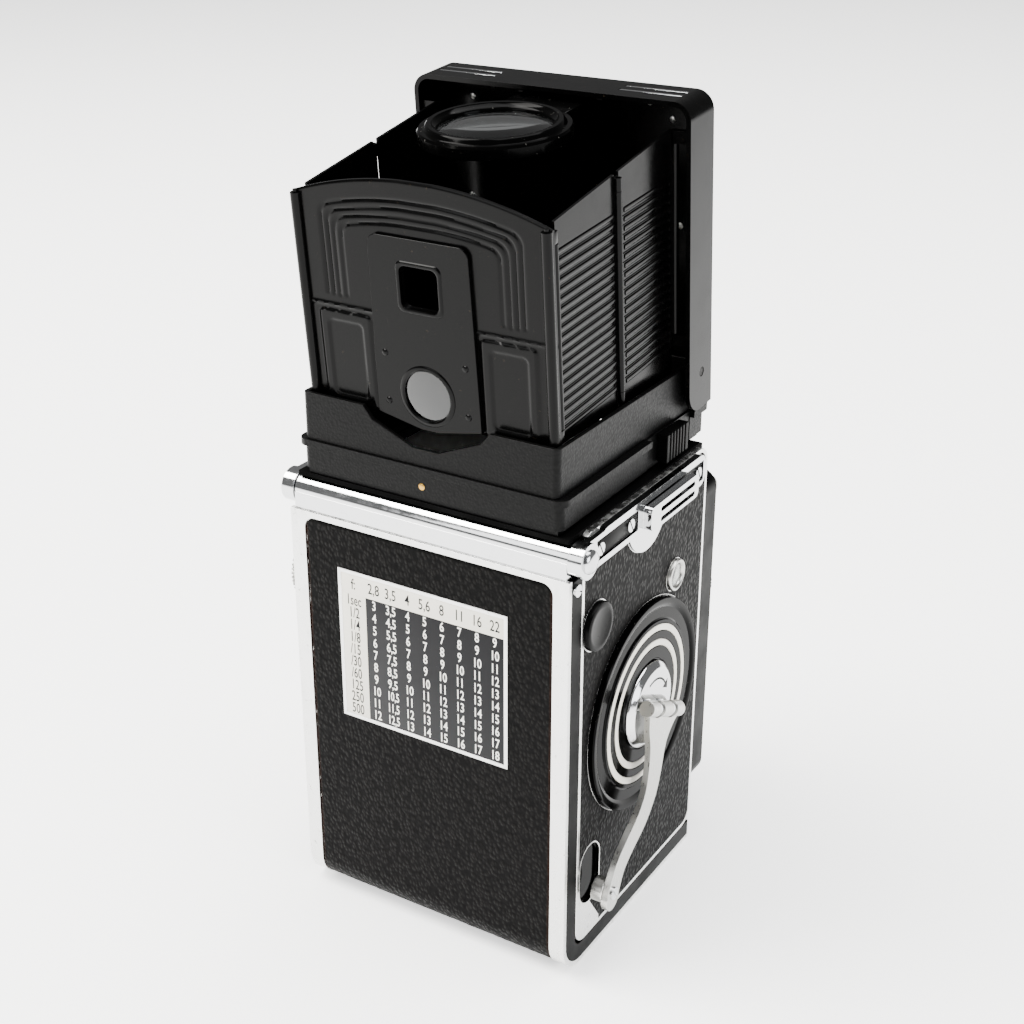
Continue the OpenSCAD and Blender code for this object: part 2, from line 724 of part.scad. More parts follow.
module sync_socket() color("#b5b5b3") difference() {
  union() {
    rod_y(3.2, board_front - 2, board_front, -32.2, 101.6);
    rod_y(2.5, board_front - 3.2, board_front - 2, -32.2, 101.6);
  }
  ring_y(1.8, 0.7, board_front - 4, board_front - 1.4, -32.2, 101.6);
}

// ---------- hood ----------

module slide_notch() block([35.9, -31, hood_low - 0.1], [40, -8, rib_z + 1]);

module hood_base() color("#1b1b1c") difference() {
  union() {
    along_z(body_h, hood_low) rect([-34.9, hood_front + 1.4], [34.9, 32.9]);
    along_z(hood_low, rib_z) soft_rect([-36.1, hood_front], [36.1, hood_back - 0.3], 2);
    along_z(rib_z - 1.7, rib_z) soft_rect([-37.3, hood_front - 1.1], [37.3, hood_back + 0.7], 3);
    // shelf and upright of the name panel in front of the lid
    along_z(hood_low, rib_z) rect([-30, -46.4], [30, hood_front + 1]);
    along_z(rib_z, 138.5) rect([-30, -46.4], [30, -44.4]);
  }
  block([-well_x, -35, body_h - 1], [well_x, 32.6, rib_z + 1]);
  for (m = [0, 1]) mirror([m, 0, 0]) slide_notch();
}

module hood_frame() color("#1b1b1c") {
  difference() {
    along_z(rib_z, frame_top) difference() {
      soft_rect([-35.3, -36], [35.3, hood_back], 1.6);
      rect([-well_x, -34.9], [well_x, 32.6]);
    }
    // dip in the rear wall around the eyepiece
    along_y(30, 40) polygon([[-18, 143], [-15, 139.2], [-3.5, 134.4], [3.5, 134.4], [15, 139.2], [18, 143]]);
  }
  leaning() for (m = [0, 1]) mirror([m, 0, 0]) rod_x(1.2, 35, lid_x - 0.1, pivot_y, pivot_z);
}

module hood_slide() {
  difference() {
    block([36.1, -24.5, 123], [38.9, -13, rib_z]);
    for (y = [-23:1.6:-14]) block([38.4, y, 122], [40, y + 0.7, 132]);
  }
}

module hood_slide_crank() color("#19191a") mirror([1, 0, 0]) hood_slide();

module hood_slide_focus() color("#19191a") hood_slide();

module lid_outline(m) {
  soft_rect([-lid_x + m, 10], [lid_x - m, lid_h - m], 4.5 - m);
  rect([-lid_x + m, m > 0 ? -8 : -5.2], [lid_x - m, 30]);
}

// Tab with a bore for the pin of a wall's first hinge
module lid_tab(z0) difference() {
  union() {
    rod_z(barrel_w, z0, z0 + 3, wall_x, wall_y);
    block([wall_x, wall_y - barrel_w, z0], [lid_x - lid_t, wall_y + barrel_w, z0 + 3]);
  }
  rod_z(rod_r + fit, z0 - 1, z0 + 4, wall_x, wall_y);
}

module hood_lid() color("#1a1a1b") leaning() {
  difference() {
    along_y(0, lid_d) lid_outline(0);
    along_y(lid_t, lid_d + 1) lid_outline(lid_t);
    // round lower end of the side walls
    along_x(-50, 50) difference() {
      rect([6.2, -10], [20, 0.8]);
      translate([6.2, 0.8]) circle(6);
    }
    for (m = [0, 1]) mirror([m, 0, 0]) rod_x(1.2 + fit, 36, 39, pivot_y, pivot_z);
    // two pairs of grooves for bright strips
    for (m = [0, 1], y = [3.2, 6.4]) mirror([m, 0, 0])
      block([17, y, lid_h - 0.35], [33.5, y + 1.3, lid_h + 1]);
  }
  for (m = [0, 1], z = zone_lid) mirror([m, 0, 0]) lid_tab(z);
  // two posts hold the magnifier's pin
  for (x = [-11.6, 10.1]) difference() {
    union() {
      block([x, lid_t, arm_pivot_z - 1.2], [x + 1.5, arm_pivot_y, arm_pivot_z + 1.2]);
      rod_x(1.2, x, x + 1.5, arm_pivot_y, arm_pivot_z);
    }
    rod_x(0.6 + fit, x - 1, x + 3, arm_pivot_y, arm_pivot_z);
  }
}

// Lower and upper tab of each hinge line. The lid's lower tabs clear the frame when the lid folds.
zone_lid = [12.9, 63.5];
zone_mid = [9, 60.4];
zone_rear = [11.6, 57.6];

function wall_low(y) = 4.5 + 0.09 * y;
function wall_high(y) = 67.8 - 0.09 * y;

// Half of a folding side wall, on the focus side. Its first hinge is a full barrel with a pin at
// each end. Its far hinge is either two bored tabs or another full barrel.
module leaf(y0, zone0, zone1, tabs) {
  y1 = y0 + leaf_l;
  x0 = wall_x - 0.4 - leaf_t;
  far = y1 - (tabs ? barrel_w + 0.15 : 0);
  difference() {
    union() {
      difference() {
        along_x(x0, x0 + leaf_t) polygon([
          [y0, wall_low(y0)], [far, wall_low(far)], [far, wall_high(far)], [y0, wall_high(y0)]
        ]);
        // clear of the neighbour's tabs and pin
        block([x0 - 1, y0 - 1, -5], [x0 + 2, y0 + barrel_w + 0.15, zone0[0] + 3.05]);
        block([x0 - 1, y0 - 1, zone0[1] - 0.05], [x0 + 2, y0 + barrel_w + 0.15, 80]);
        if (!tabs) {
          block([x0 - 1, y1 - barrel_w - 0.15, -5], [x0 + 2, y1 + 1, zone1[0] + 3.05]);
          block([x0 - 1, y1 - barrel_w - 0.15, zone1[1] - 0.05], [x0 + 2, y1 + 1, 80]);
        }
      }
      rod_z(barrel_w, zone0[0] + 3.1, zone0[1] - 0.1, wall_x, y0);
      if (tabs) for (z = [zone1[0], zone1[1]]) {
        rod_z(barrel_w, z, z + 3, wall_x, y1);
        block([x0, y1 - barrel_w - 0.3, z], [x0 + leaf_t, y1, z + 3]);
      }
      if (!tabs) rod_z(barrel_w, zone1[0] + 3.1, zone1[1] - 0.1, wall_x, y1);
    }
    if (tabs) for (z = [zone1[0], zone1[1]]) rod_z(rod_r + fit, z - 1, z + 4, wall_x, y1);
    // shallow pressed ribs
    for (z = [14:2.2:54]) block([x0 + leaf_t - 0.2, y0 + 2, z], [x0 + leaf_t + 1, far - 1.5, z + 1]);
  }
  rod_z(rod_r, zone0[0] + 0.2, zone0[1] + 2.8, wall_x, y0);
  if (!tabs) rod_z(rod_r, zone1[0] + 0.2, zone1[1] + 2.8, wall_x, y1);
}

module leaf_focus_front() color("#232325") leaning() leaf(wall_y, zone_lid, zone_mid, true);

module leaf_focus_rear() color("#232325") leaning() leaf(wall_y + leaf_l, zone_mid, zone_rear, false);

module leaf_crank_front() color("#232325") mirror([1, 0, 0]) leaning()
  leaf(wall_y, zone_lid, zone_mid, true);

module leaf_crank_rear() color("#232325") mirror([1, 0, 0]) leaning()
  leaf(wall_y + leaf_l, zone_mid, zone_rear, false);

rear_y = wall_y + 2 * leaf_l;    // last hinge line
panel_y = rear_y + 1.4;          // front of the rear panel
post_r = 1.25;                   // round post down each edge of the rear panel

// Plate with a shallow arch over its top
module rear_outline() intersection() {
  rect([-33.9, 9.9], [33.9, 66.9]);
  translate([0, 67 - 100]) circle(100, $fn = 180);
}

// Square finder window in the rear panel, and the round eyepiece below it
window_z = 43;
window_s = 5.1;
eye_z = 17;
eye_r = 6.7;

module window_hole() translate([0, window_z]) soft_rect([-window_s, -window_s], [window_s, window_s], 1.6);

module rear_panel() color("#1a1a1b") leaning() {
  difference() {
    along_y(panel_y, panel_y + 0.8) rear_outline();
    along_y(panel_y - 1, panel_y + 2) window_hole();
    rod_y(eye_r - 0.4, panel_y - 1, panel_y + 2, 0, eye_z);
  }
  for (m = [0, 1]) mirror([m, 0, 0]) {
    rod_z(post_r, 10, 61.5, well_x - post_r - 0.1, panel_y + 1);
    for (z = [zone_rear[0], zone_rear[1]]) difference() {
      union() {
        rod_z(barrel_w, z, z + 3, wall_x, rear_y);
        block([wall_x - barrel_w, rear_y, z], [wall_x + barrel_w, panel_y + 0.4, z + 3]);
      }
      rod_z(rod_r + fit, z - 1, z + 4, wall_x, rear_y);
    }
  }
}

module eye_plate() color("#18181a") leaning() difference() {
  along_y(panel_y + 0.8, panel_y + 1.8) {
    polygon([[-14.2, 10.6], [-2.5, 8.2], [2.5, 8.2], [14.2, 10.6], [13.3, 51.8], [-13.3, 51.8]]);
    soft_rect([-13.3, 40], [13.3, 54.3], 2.5);
  }
  along_y(panel_y, panel_y + 3) window_hole();
  rod_y(eye_r, panel_y, panel_y + 3, 0, eye_z);
}

module eye_lens() color("#b9c6cc") leaning() {
  rod_y(eye_r, panel_y + 0.8, panel_y + 1.4, 0, eye_z);
  rod_y(eye_r - 1.2, panel_y + 1.4, panel_y + 1.75, 0, eye_z);
}

module magnifier_arm() color("#161617") leaning() {
  difference() {
    union() {
      rod_z(magnifier_r, magnifier_z, magnifier_z + 3.1, 0, magnifier_y);
      rod_z(magnifier_r - 2, magnifier_z + 3.1, magnifier_z + magnifier_t, 0, magnifier_y);
      along_z(arm_pivot_z - 0.7, arm_pivot_z + 0.7)
        rect([-9.6, arm_pivot_y], [9.6, magnifier_y - magnifier_r + 4]);
    }
    rod_z(magnifier_bore, magnifier_z - 1, magnifier_z + magnifier_t + 1, 0, magnifier_y);
  }
  rod_x(1.2, -9.8, 9.8, arm_pivot_y, arm_pivot_z);
  rod_x(0.6, -11.5, 11.5, arm_pivot_y, arm_pivot_z);
}

module magnifier_lens() color("#c3ced3") leaning() {
  rod_z(magnifier_bore, magnifier_z + 0.8, magnifier_z + 2.2, 0, magnifier_y);
  intersection() {
    rod_z(magnifier_bore, magnifier_z + 2.2, magnifier_z + 4, 0, magnifier_y);
    translate([0, magnifier_y, magnifier_z + 4 - lens_dome]) sphere(lens_dome, $fn = 128);
  }
}

body_casting();
crank_side_panel();
crank_side_leather();
focus_side_panel();
focus_side_leather();
front_panel();
tripod_bush();
strap_lugs();
lug_screws();
hinge_pins();
port_cap();
counter_bezel();
counter_dial();
crank_plate();
dial_rings();
crank_hub();
crank_arm();
crank_knob();
back_door();
back_channel();
back_hinge_bar();
back_leather();
exposure_table();
pressure_plate();
door_latch();
reflex_mirror();
focusing_screen();
screen_frame();
film_roller_upper();
film_roller_lower();
supply_spool();
takeup_spool();
focus_knob();
supply_knob();
takeup_knob();
lens_board();
board_cover();
sync_socket();
lens_barrels();
viewing_lens();
taking_lens();
shutter_unit();
aperture_wheel();
shutter_wheel();
release_button();
timer_lever();
hood_base();
hood_frame();
hood_slide_crank();
hood_slide_focus();
hood_lid();
rear_panel();
eye_plate();
eye_lens();
leaf_crank_front();
leaf_crank_rear();
leaf_focus_front();
leaf_focus_rear();
magnifier_arm();
magnifier_lens();
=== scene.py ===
import json
import math
import bmesh
import bpy
from mathutils import Matrix, Vector


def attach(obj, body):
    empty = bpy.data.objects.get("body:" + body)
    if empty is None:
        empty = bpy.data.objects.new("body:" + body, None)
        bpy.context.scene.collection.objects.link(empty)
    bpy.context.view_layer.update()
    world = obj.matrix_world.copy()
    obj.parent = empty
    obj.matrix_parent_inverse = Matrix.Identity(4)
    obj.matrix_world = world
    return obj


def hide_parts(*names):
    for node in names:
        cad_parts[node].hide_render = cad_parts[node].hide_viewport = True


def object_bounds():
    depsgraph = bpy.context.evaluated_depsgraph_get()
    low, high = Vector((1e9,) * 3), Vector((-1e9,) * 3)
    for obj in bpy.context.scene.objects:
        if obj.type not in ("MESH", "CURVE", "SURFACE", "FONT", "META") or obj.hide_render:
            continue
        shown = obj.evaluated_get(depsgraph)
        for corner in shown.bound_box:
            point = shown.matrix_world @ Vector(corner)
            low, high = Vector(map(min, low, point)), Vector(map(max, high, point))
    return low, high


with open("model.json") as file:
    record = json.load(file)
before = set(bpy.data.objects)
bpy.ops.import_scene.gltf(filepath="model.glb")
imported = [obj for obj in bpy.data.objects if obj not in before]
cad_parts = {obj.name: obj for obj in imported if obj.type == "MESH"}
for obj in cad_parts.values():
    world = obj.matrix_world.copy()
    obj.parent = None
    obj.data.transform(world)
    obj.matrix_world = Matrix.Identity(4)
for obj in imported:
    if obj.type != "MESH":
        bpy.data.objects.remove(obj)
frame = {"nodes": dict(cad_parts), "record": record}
cadLow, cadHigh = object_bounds()

mm = 0.001
bodyOfNode = {node: body for body, group in frame["record"]["behaviour"]["bodies"].items()
              for node in group}
slotOfNode = {part["node"]: part["material_slot"] for part in frame["record"]["subparts"]}


def toLinear(hexColour):
    channels = [int(hexColour[i:i + 2], 16) / 255 for i in (1, 3, 5)]
    return [c / 12.92 if c <= 0.04045 else ((c + 0.055) / 1.055) ** 2.4 for c in channels] + [1.0]


# a source is a socket, or a node that gives its first output
def wire(tree, node, links):
    for key, source in links.items():
        tree.links.new(source.outputs[0] if isinstance(source, bpy.types.Node) else source,
                       node.inputs[key])


# keys that name a property set it, all others are input sockets
def addNode(tree, kind, settings=None, links=None):
    node = tree.nodes.new(kind)
    for key, value in (settings or {}).items():
        if isinstance(key, str) and key in node.bl_rna.properties:
            setattr(node, key, value)
        else:
            node.inputs[key].default_value = value
    wire(tree, node, links or {})
    return node


# a pattern's scale from its real size in millimetres
def perSize(size):
    return 1 / (size * mm)


def startMaterial(name, settings):
    material = bpy.data.materials.new(name)
    material.use_nodes = True
    tree = material.node_tree
    shader = tree.nodes["Principled BSDF"]
    for key, value in settings.items():
        shader.inputs[key].default_value = value
    place = addNode(tree, "ShaderNodeTexCoord").outputs["Object"]
    return material, tree, shader, place


def addObject(name, data):
    made = bpy.data.objects.new(name, data)
    bpy.context.scene.collection.objects.link(made)
    return made


# a move by a place in millimetres
def at(place):
    return Matrix.Translation(Vector(place) * mm)


# mesh that stays in the row frame, riding on its body
def addPiece(name, mesh, material, body, slot, *nodes):
    piece = addObject(name, mesh)
    mesh.materials.clear()
    mesh.materials.append(material)
    mesh.polygons.foreach_set("material_index", [0] * len(mesh.polygons))
    mesh.update()
    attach(piece, body)
    if nodes:
        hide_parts(*nodes)
    return piece


def smoothMesh(mesh, degrees=32):
    mesh.polygons.foreach_set("use_smooth", [True] * len(mesh.polygons))
    mesh.set_sharp_from_angle(angle=math.radians(degrees))


def meshFrom(bm, name, placing=None, degrees=32):
    if placing:
        bmesh.ops.transform(bm, matrix=placing, verts=bm.verts)
    mesh = bpy.data.meshes.new(name)
    bm.to_mesh(mesh)
    bm.free()
    smoothMesh(mesh, degrees)
    return mesh


# turns an object with live modifiers into a plain mesh
def settle(source, name):
    bpy.context.view_layer.update()
    evaluated = source.evaluated_get(bpy.context.evaluated_depsgraph_get())
    mesh = bpy.data.meshes.new_from_object(evaluated)
    mesh.name = name
    bpy.data.objects.remove(source)
    return mesh


# a merged copy of a CAD node with its edges rounded as on a finished part
def roundedCopy(node, radius, segments=2, degrees=32):
    bm = bmesh.new()
    bm.from_mesh(frame["nodes"][node].data)
    bmesh.ops.remove_doubles(bm, verts=bm.verts, dist=0.002 * mm)
    bmesh.ops.dissolve_limit(bm, angle_limit=math.radians(0.4), verts=bm.verts, edges=bm.edges)
    mesh = bpy.data.meshes.new(node + "Copy")
    bm.to_mesh(mesh)
    bm.free()
    source = addObject(node + "Copy", mesh)
    bevel = source.modifiers.new("edges", "BEVEL")
    bevel.width = radius * mm
    bevel.segments = segments
    bevel.limit_method = "ANGLE"
    bevel.angle_limit = math.radians(degrees)
    bevel.use_clamp_overlap = True
    weighted = source.modifiers.new("normals", "WEIGHTED_NORMAL")
    weighted.keep_sharp = True
    smoothMesh(mesh, 50)
    return settle(source, node + "Rounded")


# closed outline of (radius, place along the axis) turned about an axis through centre
def turned(outline, centre, axis, segments=96, name="turned", degrees=32):
    bm = bmesh.new()
    rings = []
    for step in range(segments):
        turn = 2 * math.pi * step / segments
        rings.append([bm.verts.new((r * mm * math.cos(turn), r * mm * math.sin(turn), along * mm))
                      for r, along in outline])
    count = len(outline)
    for step in range(segments):
        here, following = rings[step], rings[(step + 1) % segments]
        for k in range(count):
            j = (k + 1) % count
            bm.faces.new((here[k], following[k], following[j], here[j]))
    bmesh.ops.remove_doubles(bm, verts=bm.verts, dist=0.001 * mm)
    bmesh.ops.recalc_face_normals(bm, faces=bm.faces)
    facing = Vector((0, 0, 1)).rotation_difference(Vector(axis)).to_matrix().to_4x4()
    return meshFrom(bm, name, at(centre) @ facing, degrees)


# block between two corners in millimetres with rounded edges
def softBlock(bm, low, high, radius, segments=2):
    size = [(b - a) * mm for a, b in zip(low, high)]
    middle = Vector([(a + b) / 2 * mm for a, b in zip(low, high)])
    made = bmesh.ops.create_cube(bm, size=1,
                                 matrix=Matrix.Translation(middle) @ Matrix.Diagonal(size + [1]))
    edges = list({e for v in made["verts"] for e in v.link_edges})
    bmesh.ops.bevel(bm, geom=edges, offset=radius * mm, segments=segments, affect="EDGES", profile=0.5)


def joinMeshes(meshes, name, degrees=32):
    bm = bmesh.new()
    for mesh in meshes:
        bm.from_mesh(mesh)
    return meshFrom(bm, name, None, degrees)


# vulcanised leather over metal: pebbled grain with soft creases, dull sheen, brown where it is rubbed; the
# colour is painted shade, darker in the creases and lighter on the pebble tops
def makeLeather(name, rubbed):
    values = {"pebble": 0.95, "pore": 0.3, "crease": 0.15, "deep": "#020202", "high": "#080706",
              "rub": "#3a2218", "rubAt": 34.3, "rubTo": 35.4}
    material, tree, shader, place = startMaterial(name, {"IOR": 1.48, "Specular IOR Level": 0.05})
    drift = addNode(tree, "ShaderNodeTexNoise", {"Scale": perSize(2.6), "Detail": 3.0}, {"Vector": place})
    push = addNode(tree, "ShaderNodeVectorMath", {"operation": "SCALE", "Scale": 0.7 * mm},
                   {0: drift.outputs["Color"]})
    moved = addNode(tree, "ShaderNodeVectorMath", {"operation": "ADD"}, {0: place, 1: push})
    laid = addNode(tree, "ShaderNodeMapping", {"Scale": (1.0, 1.0, 0.72), "Rotation": (0.25, 0.2, 0.0)},
                   {"Vector": moved})
    cells = addNode(tree, "ShaderNodeTexVoronoi",
                    {"feature": "SMOOTH_F1", "Scale": perSize(values["pebble"]), "Smoothness": 0.35},
                    {"Vector": laid})
    pebble = addNode(tree, "ShaderNodeMapRange",
                     {"From Min": 0.1, "From Max": 0.75, "To Min": 1.0, "To Max": 0.0,
                      "interpolation_type": "SMOOTHSTEP"}, {"Value": cells.outputs["Distance"]})
    pores = addNode(tree, "ShaderNodeTexNoise", {"Scale": perSize(values["pore"]), "Detail": 4.0},
                    {"Vector": place})
    fine = addNode(tree, "ShaderNodeMath", {"operation": "MULTIPLY", 1: 0.22}, {0: pores})
    height = addNode(tree, "ShaderNodeMath", {"operation": "ADD"}, {0: pebble, 1: fine})
    bump = addNode(tree, "ShaderNodeBump", {"Strength": 0.75, "Distance": values["crease"] * mm},
                   {"Height": height})
    # painted shade: the colour is darker in the creases between the pebbles and lighter on their raised
    # tops
    tone = addNode(tree, "ShaderNodeMix",
                   {"data_type": "RGBA", 6: toLinear(values["deep"]), 7: toLinear(values["high"])},
                   {0: pebble})
    colour = tone.outputs[2]
    if rubbed:
        split = addNode(tree, "ShaderNodeSeparateXYZ", None, {0: place})
        side = addNode(tree, "ShaderNodeMath", {"operation": "ABSOLUTE"}, {0: split.outputs["X"]})
        edge = addNode(tree, "ShaderNodeMapRange",
                       {"From Min": values["rubAt"] * mm, "From Max": values["rubTo"] * mm},
                       {"Value": side})
        patch = addNode(tree, "ShaderNodeTexNoise", {"Scale": perSize(6.0), "Detail": 2.0},
                        {"Vector": place})
        worn = addNode(tree, "ShaderNodeMath", {"operation": "MULTIPLY"}, {0: edge, 1: patch})
        mixed = addNode(tree, "ShaderNodeMix", {"data_type": "RGBA", 7: toLinear(values["rub"])},
                        {0: worn, 6: colour})
        colour = mixed.outputs[2]
    sheen = addNode(tree, "ShaderNodeMapRange", {"To Min": 0.6, "To Max": 0.4}, {"Value": pebble})
    wire(tree, shader, {"Base Color": colour, "Roughness": sheen, "Normal": bump})
    return material


# one recipe for bare and plated metal: brushing, scuffs and small dull nicks
def makeMetal(name, colour, dull, low, high, scuff, brush=(1, 1, 1), nick=0.0, relief=0.012):
    material, tree, shader, place = startMaterial(name, {"Metallic": 1.0})
    laid = addNode(tree, "ShaderNodeMapping", {"Scale": brush}, {"Vector": place})
    haze = addNode(tree, "ShaderNodeTexNoise", {"Scale": perSize(scuff), "Detail": 6.0, "Roughness": 0.62},
                   {"Vector": laid})
    rough = addNode(tree, "ShaderNodeMapRange",
                    {"From Min": 0.35, "From Max": 0.7, "To Min": low, "To Max": high}, {"Value": haze})
    dots = addNode(tree, "ShaderNodeTexNoise", {"Scale": perSize(1.7), "Detail": 5.0, "Roughness": 0.7},
                   {"Vector": place})
    marks = addNode(tree, "ShaderNodeMapRange",
                    {"From Min": 0.62, "From Max": 0.7, "To Min": 0.0, "To Max": nick}, {"Value": dots})
    tone = addNode(tree, "ShaderNodeMix", {"data_type": "RGBA", 6: toLinear(colour), 7: toLinear(dull)},
                   {0: marks})
    bump = addNode(tree, "ShaderNodeBump", {"Strength": 0.35, "Distance": relief * mm}, {"Height": haze})
    wire(tree, shader, {"Base Color": tone.outputs[2], "Roughness": rough, "Normal": bump})
    return material


# one recipe for paint on metal: faint orange peel, rubbed patches and flecks where the paint has gone
def makePaint(name, colour, worn, low, high, peel, relief, fleck=0.0, gloss=0.2):
    material, tree, shader, place = startMaterial(name, {"IOR": 1.5, "Specular IOR Level": gloss})
    skin = addNode(tree, "ShaderNodeTexNoise", {"Scale": perSize(peel), "Detail": 3.0}, {"Vector": place})
    patch = addNode(tree, "ShaderNodeTexNoise", {"Scale": perSize(9.0), "Detail": 4.0, "Roughness": 0.6},
                    {"Vector": place})
    rough = addNode(tree, "ShaderNodeMapRange",
                    {"From Min": 0.35, "From Max": 0.65, "To Min": low, "To Max": high}, {"Value": patch})
    bits = addNode(tree, "ShaderNodeTexNoise", {"Scale": perSize(0.9), "Detail": 3.0, "Roughness": 0.7},
                   {"Vector": place})
    gone = addNode(tree, "ShaderNodeMapRange",
                   {"From Min": 0.69, "From Max": 0.72, "To Min": 0.0, "To Max": fleck}, {"Value": bits})
    tone = addNode(tree, "ShaderNodeMix", {"data_type": "RGBA", 6: toLinear(colour), 7: toLinear(worn)},
                   {0: gone})
    bump = addNode(tree, "ShaderNodeBump", {"Strength": 0.5, "Distance": relief * mm}, {"Height": skin})
    wire(tree, shader, {"Base Color": tone.outputs[2], "Roughness": rough, "Normal": bump})
    return material


# wrinkle enamel baked on a casting: fine rounded wrinkles that break up every highlight, with painted shade
# darker in their hollows and lighter on their tops
def makeWrinkle(name):
    values = {"wrinkle": 0.7, "relief": 0.08, "low": "#010101", "high": "#050505"}
    material, tree, shader, place = startMaterial(name, {"IOR": 1.5, "Specular IOR Level": 0.08})
    drift = addNode(tree, "ShaderNodeTexNoise", {"Scale": perSize(0.8), "Detail": 2.0}, {"Vector": place})
    push = addNode(tree, "ShaderNodeVectorMath", {"operation": "SCALE", "Scale": 0.5 * mm},
                   {0: drift.outputs["Color"]})
    moved = addNode(tree, "ShaderNodeVectorMath", {"operation": "ADD"}, {0: place, 1: push})
    cells = addNode(tree, "ShaderNodeTexVoronoi",
                    {"feature": "SMOOTH_F1", "Scale": perSize(values["wrinkle"]), "Smoothness": 0.5},
                    {"Vector": moved})
    bump = addNode(tree, "ShaderNodeBump",
                   {"Strength": 0.8, "Distance": values["relief"] * mm, "invert": True},
                   {"Height": cells.outputs["Distance"]})
    # painted shade: the colour darkens in the hollows of the wrinkles and lightens on their tops
    tone = addNode(tree, "ShaderNodeMix",
                   {"data_type": "RGBA", 6: toLinear(values["high"]), 7: toLinear(values["low"])},
                   {0: cells.outputs["Distance"]})
    rough = addNode(tree, "ShaderNodeMapRange", {"To Min": 0.36, "To Max": 0.52},
                    {"Value": cells.outputs["Distance"]})
    wire(tree, shader, {"Base Color": tone.outputs[2], "Roughness": rough, "Normal": bump})
    return material


# polished optical glass with a faint haze of dust, or ground glass where haze is high
def makeGlass(name, tint, low, high, index):
    material, tree, shader, place = startMaterial(
        name, {"Base Color": toLinear(tint), "Transmission Weight": 1.0, "IOR": index})
    dust = addNode(tree, "ShaderNodeTexNoise", {"Scale": perSize(3.0), "Detail": 6.0, "Roughness": 0.7},
                   {"Vector": place})
    rough = addNode(tree, "ShaderNodeMapRange",
                    {"From Min": 0.4, "From Max": 0.8, "To Min": low, "To Max": high}, {"Value": dust})
    wire(tree, shader, {"Roughness": rough})
    return material


leather = makeLeather("vulcanisedLeather", False)
backSkin = makeLeather("vulcanisedLeatherRubbed", True)
# polished aluminium trim, bright but scratched by years of handling
rimMetal = makeMetal("polishedAluminium", "#dcdcda", "#7d7a76", 0.16, 0.42, 2.2, (1, 1, 0.35), 0.75, 0.02)
# bright chrome plate over brass, near mirror
chrome = makeMetal("chromePlate", "#c9cacb", "#84817e", 0.05, 0.16, 3.0, (1, 1, 1), 0.3)
# satin chrome, a soft even glow with fine brushing
satinChrome = makeMetal("satinChrome", "#b4b3af", "#85827e", 0.26, 0.38, 0.8, (1, 1, 0.3), 0.15)
# zinc plated steel for the small inner parts
steel = makeMetal("zincPlatedSteel", "#9c9d9e", "#5c5a57", 0.3, 0.5, 1.5, (0.2, 1, 1), 0.4)
# silvered glass, a clean cold reflection
silvering = makeMetal("silveredMirror", "#eef1f3", "#d5d8da", 0.02, 0.05, 12.0)
# yellow brass that shows at the small screws and markers
brass = makeMetal("agedBrass", "#b08a45", "#5f4a26", 0.25, 0.45, 1.2, (1, 1, 1), 0.5)
# baked gloss enamel on the crank's dial, deep black with crisp highlights
glossEnamel = makePaint("bakedBlackEnamel", "#020202", "#6f6d68", 0.08, 0.16, 4.0, 0.006, 0.4, 0.03)
# semi-gloss stove enamel on folded sheet, smooth with long soft highlights
sheetPaint = makePaint("stoveEnamelSheet", "#020202", "#6c5c48", 0.16, 0.27, 1.4, 0.01, 0.1, 0.08)
# flat black inside the hood and the chambers, made to swallow stray light
flatBlack = makePaint("flatBlackLacquer", "#020202", "#070606", 0.6, 0.8, 0.5, 0.02, 0.0, 0.03)
# satin paint on the castings' plain faces
satinPaint = makePaint("satinBlackPaint", "#030303", "#5b574f", 0.3, 0.44, 0.9, 0.015, 0.15, 0.035)
# black anodised aluminium on wheels and film spools
anodised = makePaint("blackAnodisedAluminium", "#050506", "#45433f", 0.28, 0.4, 0.4, 0.008, 0.25, 0.08)
# moulded phenolic cap, glossy with a slight orange peel
moulded = makePaint("mouldedPhenolic", "#040404", "#121110", 0.2, 0.32, 2.5, 0.02, 0.0, 0.04)
# stove-baked ivory enamel under the numerals
ivory = makePaint("ivoryEnamel", "#e3dfd2", "#b5ad98", 0.3, 0.42, 2.0, 0.006, 0.5)
# charcoal enamel behind the white numerals
tableEnamel = makePaint("charcoalEnamel", "#141416", "#3a3a3c", 0.34, 0.46, 2.0, 0.006, 0.2, 0.12)
# white filling in the engraved figures
whiteFill = makePaint("whiteFillPaint", "#f1efe8", "#d2cebf", 0.4, 0.55, 0.5, 0.004)
# black filling in the engraved figures
blackFill = makePaint("blackFillPaint", "#1c1c1d", "#303030", 0.5, 0.6, 0.5, 0.004, 0.0, 0.1)
wrinkle = makeWrinkle("wrinkleEnamel")
lensGlass = makeGlass("coatedOpticalGlass", "#4a485c", 0.0, 0.03, 1.62)
clearGlass = makeGlass("opticalGlass", "#f2f5f5", 0.0, 0.03, 1.52)
groundGlass = makeGlass("groundGlass", "#e9ebe6", 0.3, 0.45, 1.52)
# small eyepiece glass; its deep grey tint is painted shade of the dark hood seen through it
eyeGlassShadeTint = makeGlass("eyepieceGlassShadeTint", "#43484a", 0.0, 0.12, 1.52)
print("materials made:", len(bpy.data.materials))


# a Geometry Nodes tree with its named inputs, for what repeats
def startTree(name, inputs):
    tree = bpy.data.node_groups.new(name, "GeometryNodeTree")
    tree.interface.new_socket("Geometry", in_out="INPUT", socket_type="NodeSocketGeometry")
    for label, kind, value in inputs:
        made = tree.interface.new_socket(label, in_out="INPUT", socket_type=kind)
        if value is not None:
            made.default_value = value
    tree.interface.new_socket("Geometry", in_out="OUTPUT", socket_type="NodeSocketGeometry")
    return tree, addNode(tree, "NodeGroupInput").outputs


# realises the instances, sets the material and ends the tree
def endTree(tree, geometry, material):
    real = addNode(tree, "GeometryNodeRealizeInstances", None, {0: geometry})
    dressed = addNode(tree, "GeometryNodeSetMaterial", None, {"Geometry": real, "Material": material})
    addNode(tree, "NodeGroupOutput", None, {0: dressed})


